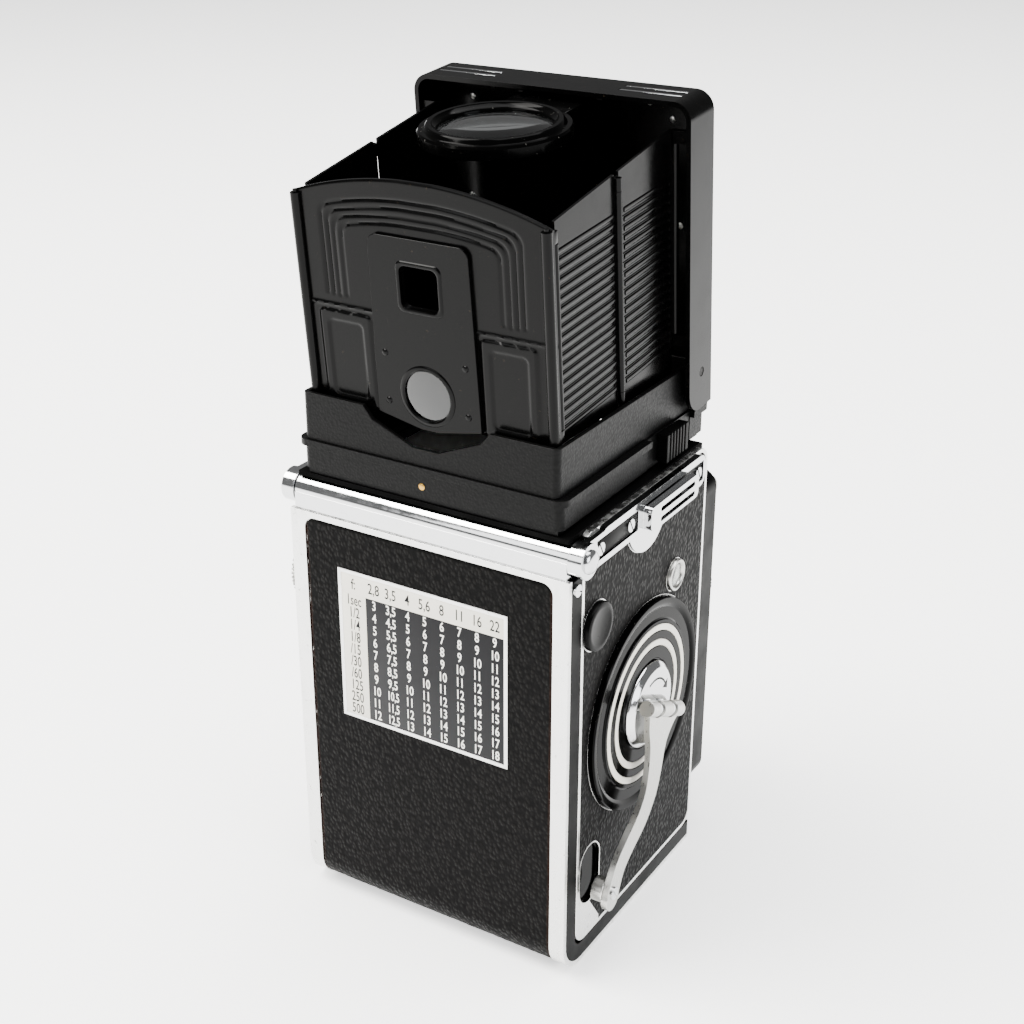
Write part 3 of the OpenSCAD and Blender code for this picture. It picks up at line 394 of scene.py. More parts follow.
# round bars side by side, half sunk in the sheet that carries them
def makeRibTree():
    tree, given = startTree("ribRow", [
        ("Count", "NodeSocketInt", 10), ("Pitch", "NodeSocketFloat", 0.002),
        ("Length", "NodeSocketFloat", 0.02), ("Width", "NodeSocketFloat", 0.001),
        ("Height", "NodeSocketFloat", 0.0002), ("Material", "NodeSocketMaterial", None)])
    step = addNode(tree, "ShaderNodeCombineXYZ", None, {"Z": given["Pitch"]})
    row = addNode(tree, "GeometryNodeMeshLine", None, {"Count": given["Count"], "Offset": step})
    half = addNode(tree, "ShaderNodeMath", {"operation": "MULTIPLY", 1: 0.5}, {0: given["Width"]})
    bar = addNode(tree, "GeometryNodeMeshCylinder", {"Vertices": 14},
                  {"Radius": half, "Depth": given["Length"]})
    flat = addNode(tree, "ShaderNodeMath", {"operation": "DIVIDE"}, {0: given["Height"], 1: half})
    shape = addNode(tree, "ShaderNodeCombineXYZ", {"Y": 1.0, "Z": 1.0}, {"X": flat})
    laid = addNode(tree, "GeometryNodeTransform", {"Rotation": (math.pi / 2, 0, 0)}, {"Geometry": bar})
    flatter = addNode(tree, "GeometryNodeTransform", None, {"Geometry": laid, "Scale": shape})
    bars = addNode(tree, "GeometryNodeInstanceOnPoints", None, {"Points": row, "Instance": flatter})
    endTree(tree, bars, given["Material"])
    return tree


# thin bars round a circle, along its axis
def makeKnurlTree():
    tree, given = startTree("knurlRing", [
        ("Count", "NodeSocketInt", 40), ("Radius", "NodeSocketFloat", 0.01),
        ("Width", "NodeSocketFloat", 0.004), ("Bar", "NodeSocketFloat", 0.0004),
        ("Material", "NodeSocketMaterial", None)])
    ring = addNode(tree, "GeometryNodeMeshCircle", None,
                   {"Vertices": given["Count"], "Radius": given["Radius"]})
    bar = addNode(tree, "GeometryNodeMeshCylinder", {"Vertices": 8},
                  {"Radius": given["Bar"], "Depth": given["Width"]})
    bars = addNode(tree, "GeometryNodeInstanceOnPoints", None, {"Points": ring, "Instance": bar})
    endTree(tree, bars, given["Material"])
    return tree


# slotted screw heads at the points of the mesh that carries the tree
def makeScrewTree():
    tree, given = startTree("slottedScrews", [
        ("Radius", "NodeSocketFloat", 0.0015), ("Height", "NodeSocketFloat", 0.0006),
        ("Slot", "NodeSocketFloat", 0.0004), ("Turn", "NodeSocketFloat", 0.4),
        ("Material", "NodeSocketMaterial", None)])
    head = addNode(tree, "GeometryNodeMeshCylinder", {"Vertices": 32},
                   {"Radius": given["Radius"], "Depth": given["Height"]})
    wide = addNode(tree, "ShaderNodeMath", {"operation": "MULTIPLY", 1: 3.0}, {0: given["Radius"]})
    size = addNode(tree, "ShaderNodeCombineXYZ", None,
                   {"X": wide, "Y": given["Slot"], "Z": given["Height"]})
    lift = addNode(tree, "ShaderNodeMath", {"operation": "MULTIPLY", 1: 0.5}, {0: given["Height"]})
    up = addNode(tree, "ShaderNodeCombineXYZ", None, {"Z": lift})
    turn = addNode(tree, "ShaderNodeCombineXYZ", None, {"Z": given["Turn"]})
    slot = addNode(tree, "GeometryNodeMeshCube", None, {"Size": size})
    cutter = addNode(tree, "GeometryNodeTransform", None,
                     {"Geometry": slot, "Translation": up, "Rotation": turn})
    cut = addNode(tree, "GeometryNodeMeshBoolean", {"operation": "DIFFERENCE"}, {0: head, 1: cutter})
    heads = addNode(tree, "GeometryNodeInstanceOnPoints", None,
                    {"Points": given["Geometry"], "Instance": cut})
    endTree(tree, heads, given["Material"])
    return tree


# pebbled relief pressed into a dense sheet, never above its surface
def makeGrainTree():
    tree, given = startTree("grainRelief", [
        ("Pebble", "NodeSocketFloat", 0.0016), ("Depth", "NodeSocketFloat", 0.0001),
        ("Material", "NodeSocketMaterial", None)])
    where = addNode(tree, "GeometryNodeInputPosition")
    scale = addNode(tree, "ShaderNodeMath", {"operation": "DIVIDE", 0: 1.0}, {1: given["Pebble"]})
    lumps = addNode(tree, "ShaderNodeTexNoise", {"Detail": 1.5, "Roughness": 0.45},
                    {"Vector": where, "Scale": scale})
    press = addNode(tree, "ShaderNodeMapRange",
                    {"From Min": 0.3, "From Max": 0.62, "To Min": -1.0, "To Max": 0.0}, {"Value": lumps})
    depth = addNode(tree, "ShaderNodeMath", {"operation": "MULTIPLY"}, {0: press, 1: given["Depth"]})
    normal = addNode(tree, "GeometryNodeInputNormal")
    push = addNode(tree, "ShaderNodeVectorMath", {"operation": "SCALE"}, {0: normal, "Scale": depth})
    moved = addNode(tree, "GeometryNodeSetPosition", None, {"Geometry": given["Geometry"], "Offset": push})
    endTree(tree, moved, given["Material"])
    return tree


# runs a tree on a mesh with its inputs set and returns the plain result
def grow(tree, values, placing=None, carrier=None, name="grown", degrees=40):
    source = addObject(name, carrier or bpy.data.meshes.new(name))
    nodes = source.modifiers.new("nodes", "NODES")
    nodes.node_group = tree
    for item in tree.interface.items_tree:
        if item.in_out == "INPUT" and item.name in values:
            nodes[item.identifier] = values[item.name]
    mesh = settle(source, name)
    if placing:
        mesh.transform(placing)
    smoothMesh(mesh, degrees)
    return mesh


def pointsMesh(points):
    mesh = bpy.data.meshes.new("points")
    mesh.from_pydata([Vector(p) * mm for p in points], [], [])
    return mesh


ribTree = makeRibTree()
knurlTree = makeKnurlTree()
screwTree = makeScrewTree()
grainTree = makeGrainTree()
# a tree's own Z axis turned to look along an axis of the frame
towardCrank = Matrix.Rotation(-math.pi / 2, 4, "Y")
towardFocus = Matrix.Rotation(math.pi / 2, 4, "Y")
towardFront = Matrix.Rotation(math.pi / 2, 4, "X")
# axes for turned pieces
toBack, toFront, toCrankSide, upwards = (0, 1, 0), (0, -1, 0), (-1, 0, 0), (0, 0, 1)


# each CAD node's finish, and its edge radius in mm where it is made again with rounded edges
finishes = {
    "body_casting": (flatBlack, 0), "crank_side_panel": (rimMetal, 0.18),
    "crank_side_leather": (leather, 0.2), "focus_side_panel": (rimMetal, 0.18),
    "focus_side_leather": (leather, 0.2), "front_panel": (leather, 0.2), "tripod_bush": (steel, 0.25),
    "strap_lugs": (chrome, 0.22), "hinge_pins": (chrome, 0.35), "back_door": (rimMetal, 0.4),
    "back_channel": (satinPaint, 0.15), "back_hinge_bar": (chrome, 0.2), "pressure_plate": (anodised, 0.2),
    "door_latch": (steel, 0.2), "reflex_mirror": (silvering, 0), "focusing_screen": (groundGlass, 0.15),
    "screen_frame": (flatBlack, 0), "film_roller_upper": (steel, 0.2), "film_roller_lower": (steel, 0.2),
    "supply_spool": (anodised, 0.2), "takeup_spool": (anodised, 0.2), "focus_knob": (satinChrome, 0.2),
    "supply_knob": (satinChrome, 0.2), "takeup_knob": (satinChrome, 0.2), "lens_board": (satinPaint, 0.6),
    "board_cover": (glossEnamel, 0.4), "sync_socket": (satinChrome, 0.15), "shutter_unit": (anodised, 0.2),
    "aperture_wheel": (anodised, 0.15), "shutter_wheel": (anodised, 0.15), "release_button": (chrome, 0.4),
    "timer_lever": (satinChrome, 0.3), "hood_base": (wrinkle, 0.45), "hood_frame": (wrinkle, 0.3),
    "hood_slide_crank": (satinPaint, 0.15), "hood_slide_focus": (satinPaint, 0.15),
    "hood_lid": (sheetPaint, 0.5), "eye_plate": (sheetPaint, 0.28), "leaf_crank_front": (sheetPaint, 0.1),
    "leaf_crank_rear": (sheetPaint, 0.1), "leaf_focus_front": (sheetPaint, 0.1),
    "leaf_focus_rear": (sheetPaint, 0.1), "crank_hub": (chrome, 0.3), "crank_arm": (satinChrome, 0.5),
    "crank_knob": (satinChrome, 0.3), "counter_dial": (ivory, 0.05), "lens_barrels": (satinChrome, 0.3),
}
for node, (material, radius) in finishes.items():
    if radius:
        addPiece(node + "Finished", roundedCopy(node, radius), material, bodyOfNode[node], slotOfNode[node],
                 node)
    else:
        shown = frame["nodes"][node]
        for holder in shown.material_slots:
            holder.material = material
print("CAD nodes finished:", len(finishes))


# pebbled leather sheet that wraps the back and the bottom of the door
backLeather = {"halfWidth": 35.28, "face": 35.38, "under": 0.12, "corner": 9.0, "top": 109.95,
               "front": -31.95, "step": 0.55, "topRound": 3.0, "rollWidth": 0.7, "rollDepth": 0.45,
               "pebble": 1.7, "relief": 0.11, "bushHole": 8.6, "latchHalf": 12.5, "latchBack": -13.5,
               "bottom": 1}


# point and outward direction on the L-shaped back, at a distance from its top edge
def backProfile(along):
    p = backLeather
    arcRadius = p["corner"] - p["under"]
    straight = p["top"] - p["corner"]
    arc = arcRadius * math.pi / 2
    if along <= straight:
        return (p["face"], p["top"] - along), (1.0, 0.0)
    if along <= straight + arc:
        turn = (along - straight) / arcRadius
        centre = (p["face"] - arcRadius, p["corner"])
        return ((centre[0] + arcRadius * math.cos(turn), centre[1] - arcRadius * math.sin(turn)),
                (math.cos(turn), -math.sin(turn)))
    return (p["face"] - arcRadius - (along - straight - arc), p["under"]), (0.0, -1.0)


def makeBackLeather():
    p = backLeather
    arc = (p["corner"] - p["under"]) * math.pi / 2
    length = p["top"] - p["corner"] + arc + p["face"] - (p["corner"] - p["under"]) - p["front"]
    rows = round(length / p["step"])
    columns = round(2 * p["halfWidth"] / p["step"])
    bm = bmesh.new()
    grid = []
    for i in range(rows + 1):
        along = length * i / rows
        (y, z), (outY, outZ) = backProfile(along)
        near = max(0.0, p["topRound"] - along)
        half = p["halfWidth"] - (p["topRound"] - math.sqrt(p["topRound"] ** 2 - near ** 2))
        line = []
        for j in range(columns + 1):
            x = half * (2 * j / columns - 1)
            edge = min(half - abs(x), along, length - along)
            roll = p["rollDepth"] * max(0.0, 1 - edge / p["rollWidth"]) ** 2
            line.append(bm.verts.new((x * mm, (y - outY * roll) * mm, (z - outZ * roll) * mm)))
        grid.append(line)
    for i in range(rows):
        for j in range(columns):
            bm.faces.new((grid[i][j], grid[i][j + 1], grid[i + 1][j + 1], grid[i + 1][j]))
    cut = []
    for face in bm.faces:
        c = face.calc_center_median() / mm
        byBush = math.hypot(c.x, c.y) < p["bushHole"]
        byLatch = abs(c.x) < p["latchHalf"] and c.y < p["latchBack"]
        if c.z < p["bottom"] and (byBush or byLatch):
            cut.append(face)
    bmesh.ops.delete(bm, geom=cut, context="FACES")
    if bm.faces[:] and sum(f.normal.y for f in list(bm.faces)[:50]) < 0:
        bmesh.ops.reverse_faces(bm, faces=bm.faces)
    mesh = meshFrom(bm, "backLeatherSheet", None, 60)
    values = {"Pebble": p["pebble"] * mm, "Depth": p["relief"] * mm, "Material": backSkin}
    return grow(grainTree, values, None, mesh, "backLeatherSheet", 60)


addPiece("backLeather", makeBackLeather(), backSkin, "door", "leather", "back_leather")

table = {"left": 25.8, "right": -23.2, "low": 56.8, "high": 98.6, "border": 1.0, "headWidth": 7.2,
         "headHeight": 5.4, "face": 35.5, "back": 34.8, "sunk": 0.09, "letter": 3.55, "headLetter": 4.1,
         "narrow": 0.7, "narrowTime": 0.62, "narrowLong": 0.6, "bold": 0.05, "thin": 0.02,
         "stops": ["2,8", "3,5", "4", "5,6", "8", "11", "16", "22"],
         "times": ["1sec", "1/2", "1/4", "1/8", "/15", "/30", "/60", "125", "250", "500"],
         "first": [3, 3.5, 4, 5, 6, 7, 8, 9]}


# one line of figures, facing the back of the camera, centred on its place
def figure(text, x, z, size, narrow, bold):
    curve = bpy.data.curves.new("figure", "FONT")
    curve.body = text
    curve.size = size * mm
    curve.align_x = "CENTER"
    curve.align_y = "CENTER"
    curve.extrude = 0.02 * mm
    curve.offset = bold * mm
    curve.resolution_u = 3
    holder = addObject("figure", curve)
    facing = Matrix(((-narrow, 0, 0, x * mm), (0, 0, 1, 0), (0, 1, 0, z * mm), (0, 0, 0, 1)))
    return holder, facing


def figuresMesh(entries, depth, name):
    made = [figure(*entry) for entry in entries]
    bpy.context.view_layer.update()
    graph = bpy.context.evaluated_depsgraph_get()
    bm = bmesh.new()
    for holder, facing in made:
        mesh = bpy.data.meshes.new_from_object(holder.evaluated_get(graph))
        mesh.transform(Matrix.Translation((0, depth * mm, 0)) @ facing)
        bm.from_mesh(mesh)
        bpy.data.meshes.remove(mesh)
    for holder, facing in made:
        bpy.data.objects.remove(holder)
    bmesh.ops.recalc_face_normals(bm, faces=bm.faces)
    return meshFrom(bm, name, None, 40)


def makeTable():
    t = table
    innerLeft = t["left"] - t["border"]
    innerRight = t["right"] + t["border"]
    innerLow = t["low"] + t["border"]
    innerHigh = t["high"] - t["border"]
    bodyX = innerLeft - t["headWidth"]
    bodyZ = innerHigh - t["headHeight"]
    floor = t["face"] - t["sunk"]
    plate = bmesh.new()
    softBlock(plate, (t["right"], t["back"], t["low"]), (t["left"], floor - 0.04, t["high"]), 0.2)
    for low, high in (((t["right"], t["low"]), (innerRight, t["high"])),
                      ((innerLeft, t["low"]), (t["left"], t["high"])),
                      ((innerRight - 0.1, t["low"]), (innerLeft + 0.1, innerLow)),
                      ((innerRight - 0.1, innerHigh), (innerLeft + 0.1, t["high"]))):
        softBlock(plate, (low[0], t["back"] + 0.1, low[1]), (high[0], t["face"] - 0.005, high[1]), 0.09)
    addPiece("tablePlate", meshFrom(plate, "tablePlate"), rimMetal, "door", "table", "exposure_table")
    heading = bmesh.new()
    softBlock(heading, (innerRight, floor - 0.2, bodyZ), (innerLeft, floor, innerHigh), 0.02)
    softBlock(heading, (bodyX, floor - 0.2, innerLow), (innerLeft, floor, bodyZ), 0.02)
    addPiece("tableHeading", meshFrom(heading, "tableHeading"), ivory, "door", "table")
    field = bmesh.new()
    softBlock(field, (innerRight, floor - 0.2, innerLow), (bodyX, floor + 0.01, bodyZ), 0.02)
    addPiece("tableField", meshFrom(field, "tableField"), tableEnamel, "door", "table")
    headX = innerLeft - t["headWidth"] / 2
    headZ = innerHigh - t["headHeight"] / 2
    column = (bodyX - innerRight) / len(t["stops"])
    row = (bodyZ - innerLow) / len(t["times"])
    dark = [("f:", headX, headZ, t["headLetter"], t["narrow"], t["thin"])]
    light = []
    for k, stop in enumerate(t["stops"]):
        x = bodyX - column * (k + 0.5)
        dark.append((stop, x, headZ, t["headLetter"], t["narrow"], t["thin"]))
        for r in range(len(t["times"])):
            value = t["first"][k] + r
            text = f"{value:g}".replace(".", ",")
            narrow = t["narrow"] if len(text) < 4 else t["narrowLong"]
            light.append((text, x, bodyZ - row * (r + 0.5), t["letter"], narrow, t["bold"]))
    for r, time in enumerate(t["times"]):
        dark.append((time, headX, bodyZ - row * (r + 0.5), t["headLetter"], t["narrowTime"], t["thin"]))
    addPiece("tableHeadingFigures", figuresMesh(dark, floor + 0.012, "headingFigures"), blackFill, "door",
             "table")
    addPiece("tableFigures", figuresMesh(light, floor + 0.022, "fieldFigures"), whiteFill, "door", "table")


makeTable()
print("back made")


# the open hood stands in a frame of its own that leans a few degrees
hood = {"lean": -5.15, "anchor": (0, -38.1, 136.5), "panelFace": 68.2, "plateFace": 69.2, "wallX": 32.6,
        "leafStart": 10, "leafLength": 28}
leaning = at(hood["anchor"]) @ Matrix.Rotation(math.radians(hood["lean"]), 4, "X")

rearWall = {"half": 33.9, "low": 9.9, "archRadius": 100, "archTop": 67, "flatTop": 66.9, "step": 0.42,
            "back": 0.75, "lines": [4.6, 6.4, 8.2, 10.0], "lineWidth": 0.32, "lineDepth": 0.3,
            "lineLow": 37.5, "sideShift": 7.5, "pad": (14.9, 29.2, 9.9, 33.6), "padRise": 0.42,
            "inner": 2.3, "innerDrop": 0.34, "ledge": 35.0, "window": 5.6, "eyeZ": 17, "eyeHole": 6.3,
            "windowZ": 43, "blend": 3.0}

rearPosts = {"radius": 1.25, "length": 51.5, "x": 32.75, "y": 68.4, "z": 35.75, "round": 0.7, "tabX": 33,
             "tabHalf": 0.85, "tabFrom": 65.6, "tabTo": 67.9, "tabs": (11.6, 57.6), "tabHeight": 3}


def roundedBoxDistance(x, z, box, radius):
    dx = max(box[0] - x, x - box[1]) + radius
    dz = max(box[2] - z, z - box[3]) + radius
    return math.hypot(max(dx, 0), max(dz, 0)) + min(max(dx, dz), 0) - radius


def fade(value, width):
    t = min(1, max(0, 0.5 - value / width))
    return t * t * (3 - 2 * t)


# pressed relief of the rear wall at a point of its face
def rearRelief(x, z, arch):
    p = rearWall
    side = abs(x)
    below = arch - z
    fromSide = p["half"] - side
    # the lines follow the arch, then turn down beside the plate with a round corner
    blend = p["blend"]
    a, b = below, fromSide - p["sideShift"] + 4.6
    mixing = max(0, blend - abs(a - b)) / blend
    nearest = min(a, b) - mixing * mixing * blend * 0.25
    height = 0.0
    if z > p["lineLow"]:
        for line in p["lines"]:
            height -= p["lineDepth"] * math.exp(-(((nearest - line) / p["lineWidth"]) ** 2))
    pad = roundedBoxDistance(side, z, p["pad"], 1.2)
    height += p["padRise"] * fade(pad, 0.5)
    b0, b1, b2, b3 = p["pad"]
    inside = roundedBoxDistance(side, z,
                                (b0 + p["inner"], b1 - p["inner"], b2 + p["inner"], b3 - p["inner"]), 1.4)
    height -= p["innerDrop"] * fade(inside, 0.5)
    if side > 13:
        height += 0.3 * math.exp(-(((z - p["ledge"]) / 0.42) ** 2))
    return height


def makeRearWall():
    p = rearWall
    columns = round(2 * p["half"] / p["step"])
    rows = round((p["flatTop"] - p["low"]) / p["step"])
    bm = bmesh.new()
    face, back = [], []
    for j in range(columns + 1):
        x = p["half"] * (2 * j / columns - 1)
        arch = min(p["flatTop"], p["archTop"] - p["archRadius"] + math.sqrt(p["archRadius"] ** 2 - x * x))
        faceLine, backLine = [], []
        for i in range(rows + 1):
            z = p["low"] + (arch - p["low"]) * i / rows
            relief = rearRelief(x, z, arch)
            edge = min(p["half"] - abs(x), arch - z, z - p["low"])
            y = hood["panelFace"] + relief - 0.22 * max(0, 1 - edge / 0.5) ** 2
            faceLine.append(bm.verts.new((x * mm, y * mm, z * mm)))
            backLine.append(bm.verts.new((x * mm, (y - p["back"]) * mm, z * mm)))
        face.append(faceLine)
        back.append(backLine)

    def isOpen(j, i):
        x = p["half"] * (2 * (j + 0.5) / columns - 1)
        z = p["low"] + (p["flatTop"] - p["low"]) * (i + 0.5) / rows
        return ((abs(x) < p["window"] and abs(z - p["windowZ"]) < p["window"])
                or math.hypot(x, z - p["eyeZ"]) < p["eyeHole"])

    for j in range(columns):
        for i in range(rows):
            if isOpen(j, i):
                continue
            bm.faces.new((face[j][i], face[j][i + 1], face[j + 1][i + 1], face[j + 1][i]))
            bm.faces.new((back[j][i], back[j + 1][i], back[j + 1][i + 1], back[j][i + 1]))
    # close the rim and the openings between the two skins
    partner = {}
    for j in range(columns + 1):
        for i in range(rows + 1):
            partner[face[j][i]] = back[j][i]
    for edge in [e for e in bm.edges if e.is_boundary and e.verts[0] in partner and e.verts[1] in partner]:
        a, b = edge.verts
        bm.faces.new((a, b, partner[b], partner[a]))
    bmesh.ops.delete(bm, geom=[v for v in bm.verts if not v.link_faces], context="VERTS")
    bmesh.ops.recalc_face_normals(bm, faces=bm.faces)
    wall = meshFrom(bm, "rearWallSheet", None, 40)
    q = rearPosts
    posts = bmesh.new()
    for side in (-1, 1):
        rod = bmesh.ops.create_cone(posts, cap_ends=True, segments=28, radius1=q["radius"] * mm,
                                    radius2=q["radius"] * mm, depth=q["length"] * mm,
                                    matrix=at((side * q["x"], q["y"], q["z"])))
        caps = [e for e in posts.edges if e.calc_face_angle(0) > 1 and e.verts[0] in rod["verts"]]
        bmesh.ops.bevel(posts, geom=caps, offset=q["round"] * mm, segments=4, affect="EDGES")
        inner, outer = side * q["tabX"] - q["tabHalf"], side * q["tabX"] + q["tabHalf"]
        for low in q["tabs"]:
            softBlock(posts, (inner, q["tabFrom"], low), (outer, q["tabTo"], low + q["tabHeight"]), 0.25)
    made = joinMeshes([wall, meshFrom(posts, "rearPosts")], "rearWall", 40)
    made.transform(leaning)
    addPiece("rearWallPressed", made, sheetPaint, "rear_wall", "satin_black", "rear_panel")


makeRearWall()


# a turned piece of the hood, in the hood's own leaning frame
def leanedTurn(*values):
    mesh = turned(*values)
    mesh.transform(leaning)
    return mesh


# raised square frame round the finder window
finder = {"outer": 6.1, "inner": 5.1, "rise": 0.35, "z": 43, "corner": 1.7, "segments": 8}


def squareLoop(half, corner, segments):
    points = []
    for quarter in range(4):
        turn = quarter * math.pi / 2
        centre = Vector((half - corner, half - corner))
        for k in range(segments + 1):
            a = math.pi / 2 * k / segments
            point = centre + corner * Vector((math.cos(a), math.sin(a)))
            points.append(Matrix.Rotation(turn, 2) @ point)
    return points


# walls between loops of as many points each
def stitch(bm, loops):
    count = len(loops[0])
    for one, other in zip(loops, loops[1:]):
        for k in range(count):
            bm.faces.new((one[k], one[(k + 1) % count], other[(k + 1) % count], other[k]))


def makeFinderFrame():
    p = finder
    levels = [(p["outer"], 0.0), (p["outer"] - 0.15, p["rise"] - 0.1), (p["outer"] - 0.35, p["rise"]),
              (p["inner"] + 0.2, p["rise"]), (p["inner"], p["rise"] - 0.12), (p["inner"], -1.9)]
    bm = bmesh.new()
    loops = []
    for half, rise in levels:
        loop = squareLoop(half, min(p["corner"], half - 0.2), p["segments"])
        loops.append([bm.verts.new((q.x * mm, (hood["plateFace"] + rise) * mm, (p["z"] + q.y) * mm))
                      for q in loop])
    stitch(bm, loops)
    bmesh.ops.recalc_face_normals(bm, faces=bm.faces)
    if sum(f.normal.y for f in bm.faces) < 0:
        bmesh.ops.reverse_faces(bm, faces=bm.faces)
    return meshFrom(bm, "finderFrame", leaning, 35)


addPiece("finderFrame", makeFinderFrame(), sheetPaint, "rear_wall", "satin_black")
# domed rivets on the eye plate and the lid
rivetOutline = [(0, -0.4), (0.85, -0.4), (0.85, 0.02), (0.72, 0.22), (0.42, 0.36), (0, 0.4)]
rivets = [leanedTurn(rivetOutline, (x, hood["plateFace"], z), toBack, 20, "rivet")
          for x in (-10.9, 10.9) for z in (26, 14)]
addPiece("eyePlateRivets", joinMeshes(rivets, "eyePlateRivets"), sheetPaint, "rear_wall", "satin_black")
eyeRing = leanedTurn([(6.7, -0.9), (7.5, -0.1), (7.5, 0.12), (7.2, 0.3), (6.6, 0.3), (6.2, 0.05),
                      (6.2, -0.9)], (0, hood["plateFace"], rearWall["eyeZ"]), toBack, 72, "eyeRing")
addPiece("eyepieceRing", eyeRing, sheetPaint, "rear_wall", "satin_black")


# lens with two curved faces, as (radius, place) pairs from the rim to the axis
def lensOutline(radius, rimBack, rimFront, bulgeBack, bulgeFront, steps=14):
    front = [(radius * (1 - k / steps), rimFront + bulgeFront * (1 - (1 - k / steps) ** 2))
             for k in range(steps + 1)]
    back = [(radius * k / steps, rimBack - bulgeBack * (1 - (k / steps) ** 2)) for k in range(steps + 1)]
    return front + back


eyeLens = leanedTurn(lensOutline(6.25, -1.0, -0.35, 0.0, 0.5), (0, hood["plateFace"], rearWall["eyeZ"]),
                     toBack, 64, "eyeLens", 60)
addPiece("eyepieceLens", eyeLens, eyeGlassShadeTint, "rear_wall", "glass", "eye_lens")

# pressed ribs on the folding walls, round-topped and close together
wallRibs = {"count": 20, "pitch": 2.2, "start": 13.2, "width": 1.3, "height": 0.22}
for side, name in ((1, "focus"), (-1, "crank")):
    for part, offset, spare in (("front", 0, 2.6), ("rear", hood["leafLength"], 1.2)):
        length = hood["leafLength"] - 2.4 - spare
        middle = hood["leafStart"] + offset + 1.6 + length / 2
        placing = leaning @ at((side * hood["wallX"], middle, wallRibs["start"]))
        mesh = grow(ribTree, {"Count": wallRibs["count"], "Pitch": wallRibs["pitch"] * mm,
                              "Length": length * mm, "Width": wallRibs["width"] * mm,
                              "Height": wallRibs["height"] * mm, "Material": sheetPaint}, placing, None,
                    name + part + "Ribs")
        addPiece(f"{name}{part.title()}Ribs", mesh, sheetPaint, f"leaf_{name}_{part}", "satin_black")

# bright strips let into the lid's top wall
lidTrim = bmesh.new()
for side in (-1, 1):
    for y in (3.2, 6.4):
        xs = sorted((side * 17.1, side * 33.4))
        softBlock(lidTrim, (xs[0], y + 0.08, 73.05), (xs[1], y + 1.22, 73.58), 0.2, 3)
addPiece("lidStrips", meshFrom(lidTrim, "lidStrips", leaning), chrome, "hood_lid", "chrome")
lidRivets = [leanedTurn(rivetOutline, (x, 1.2, z), toBack, 18, "rivet")
             for x, z in ((-28, 66), (-22, 69.5), (22, 69.5), (28, 66), (-30, 40), (30, 40))]
addPiece("lidRivets", joinMeshes(lidRivets, "lidRivets"), satinChrome, "hood_lid", "satin_chrome")

# magnifier: stepped black ring with a lens that bulges up
magnifier = {"y": 35, "z": 67.7, "lens": 13.09, "hingeY": 4.6, "pinZ": 69.85, "pinRadius": 0.58,
             "pinLength": 23, "ring": [(18, 0.25), (18, 2.5), (17.6, 3.1), (16.5, 3.1), (16.2, 3.4),
                                       (16.0, 3.9), (15.6, 4.25), (14.6, 4.25), (14.3, 3.8), (13.7, 3.5),
                                       (13.3, 3.2), (13.1, 2.7), (13.1, 0.0), (17.7, 0.0)]}
ring = turned(magnifier["ring"], (0, magnifier["y"], magnifier["z"]), upwards, 128, "magnifierRing", 28)
arm = bmesh.new()
softBlock(arm, (-9.6, magnifier["hingeY"], 1.5), (9.6, 20.6, 2.8), 0.3)
softBlock(arm, (-9.8, 3.5, 1.0), (9.8, 5.7, 3.2), 0.8, 4)
armMesh = meshFrom(arm, "magnifierStem")
armMesh.transform(Matrix.Translation((0, 0, magnifier["z"] * mm)))
pin = bmesh.new()
bmesh.ops.create_cone(pin, cap_ends=True, segments=20, radius1=magnifier["pinRadius"] * mm,
                      radius2=magnifier["pinRadius"] * mm, depth=magnifier["pinLength"] * mm,
                      matrix=at((0, magnifier["hingeY"], magnifier["pinZ"])) @ towardFocus)
whole = joinMeshes([ring, armMesh, meshFrom(pin, "magnifierPin")], "magnifier")
whole.transform(leaning)
addPiece("magnifierRing", whole, glossEnamel, "magnifier", "black_enamel", "magnifier_arm")
glass = leanedTurn(lensOutline(magnifier["lens"], 0.8, 2.5, 0.0, 1.4, 18),
                   (0, magnifier["y"], magnifier["z"]), upwards, 96, "magnifierGlass", 60)
addPiece("magnifierGlass", glass, clearGlass, "magnifier", "glass", "magnifier_lens")
print("hood made")


# dial on the crank's axis
crank = {"y": -3, "z": 61, "tip": (-46.45, 22.7, 21.2)}
centre = (0, crank["y"], crank["z"])
dialOutline = [(27.6, 38.85), (28, 39.2), (28, 40.7), (27.7, 41.08), (26.6, 41.1), (25.9, 40.85),
               (25.3, 40.5), (22.6, 40.5), (22.2, 40.7), (22.0, 40.98), (21.2, 41.0), (21.05, 40.85),
               (21.0, 40.3), (19.3, 40.3), (19.25, 40.85), (19.1, 41.0), (17.2, 41.0), (17.05, 40.85),
               (17.0, 40.3), (15.3, 40.3), (15.25, 40.85), (15.1, 41.0), (12.1, 41.0), (11.9, 40.8),
               (11.9, 40.5), (3.1, 40.5), (3.1, 38.85)]
addPiece("crankDial", turned(dialOutline, centre, toCrankSide, 144, "crankDial", 25), glossEnamel, "body",
         "black_enamel", "crank_plate")
rings = [turned([(r - 0.05, 40.31), (r - 0.05, 40.95), (r - 0.25, 41.05), (r - 1.45, 41.05),
                 (r - 1.65, 40.95), (r - 1.65, 40.31)], centre, toCrankSide, 144, "dialRing")
         for r in (21, 17)]
addPiece("dialRings", joinMeshes(rings, "dialRings"), ivory, "body", "chrome", "dial_rings")

# glossy lining of the pocket beside the folded knob
pocket = {"y": 22.7, "low": 21.2, "high": 28.2, "radius": 4.86, "wall": 0.14, "face": 39.45, "floor": 38.46}


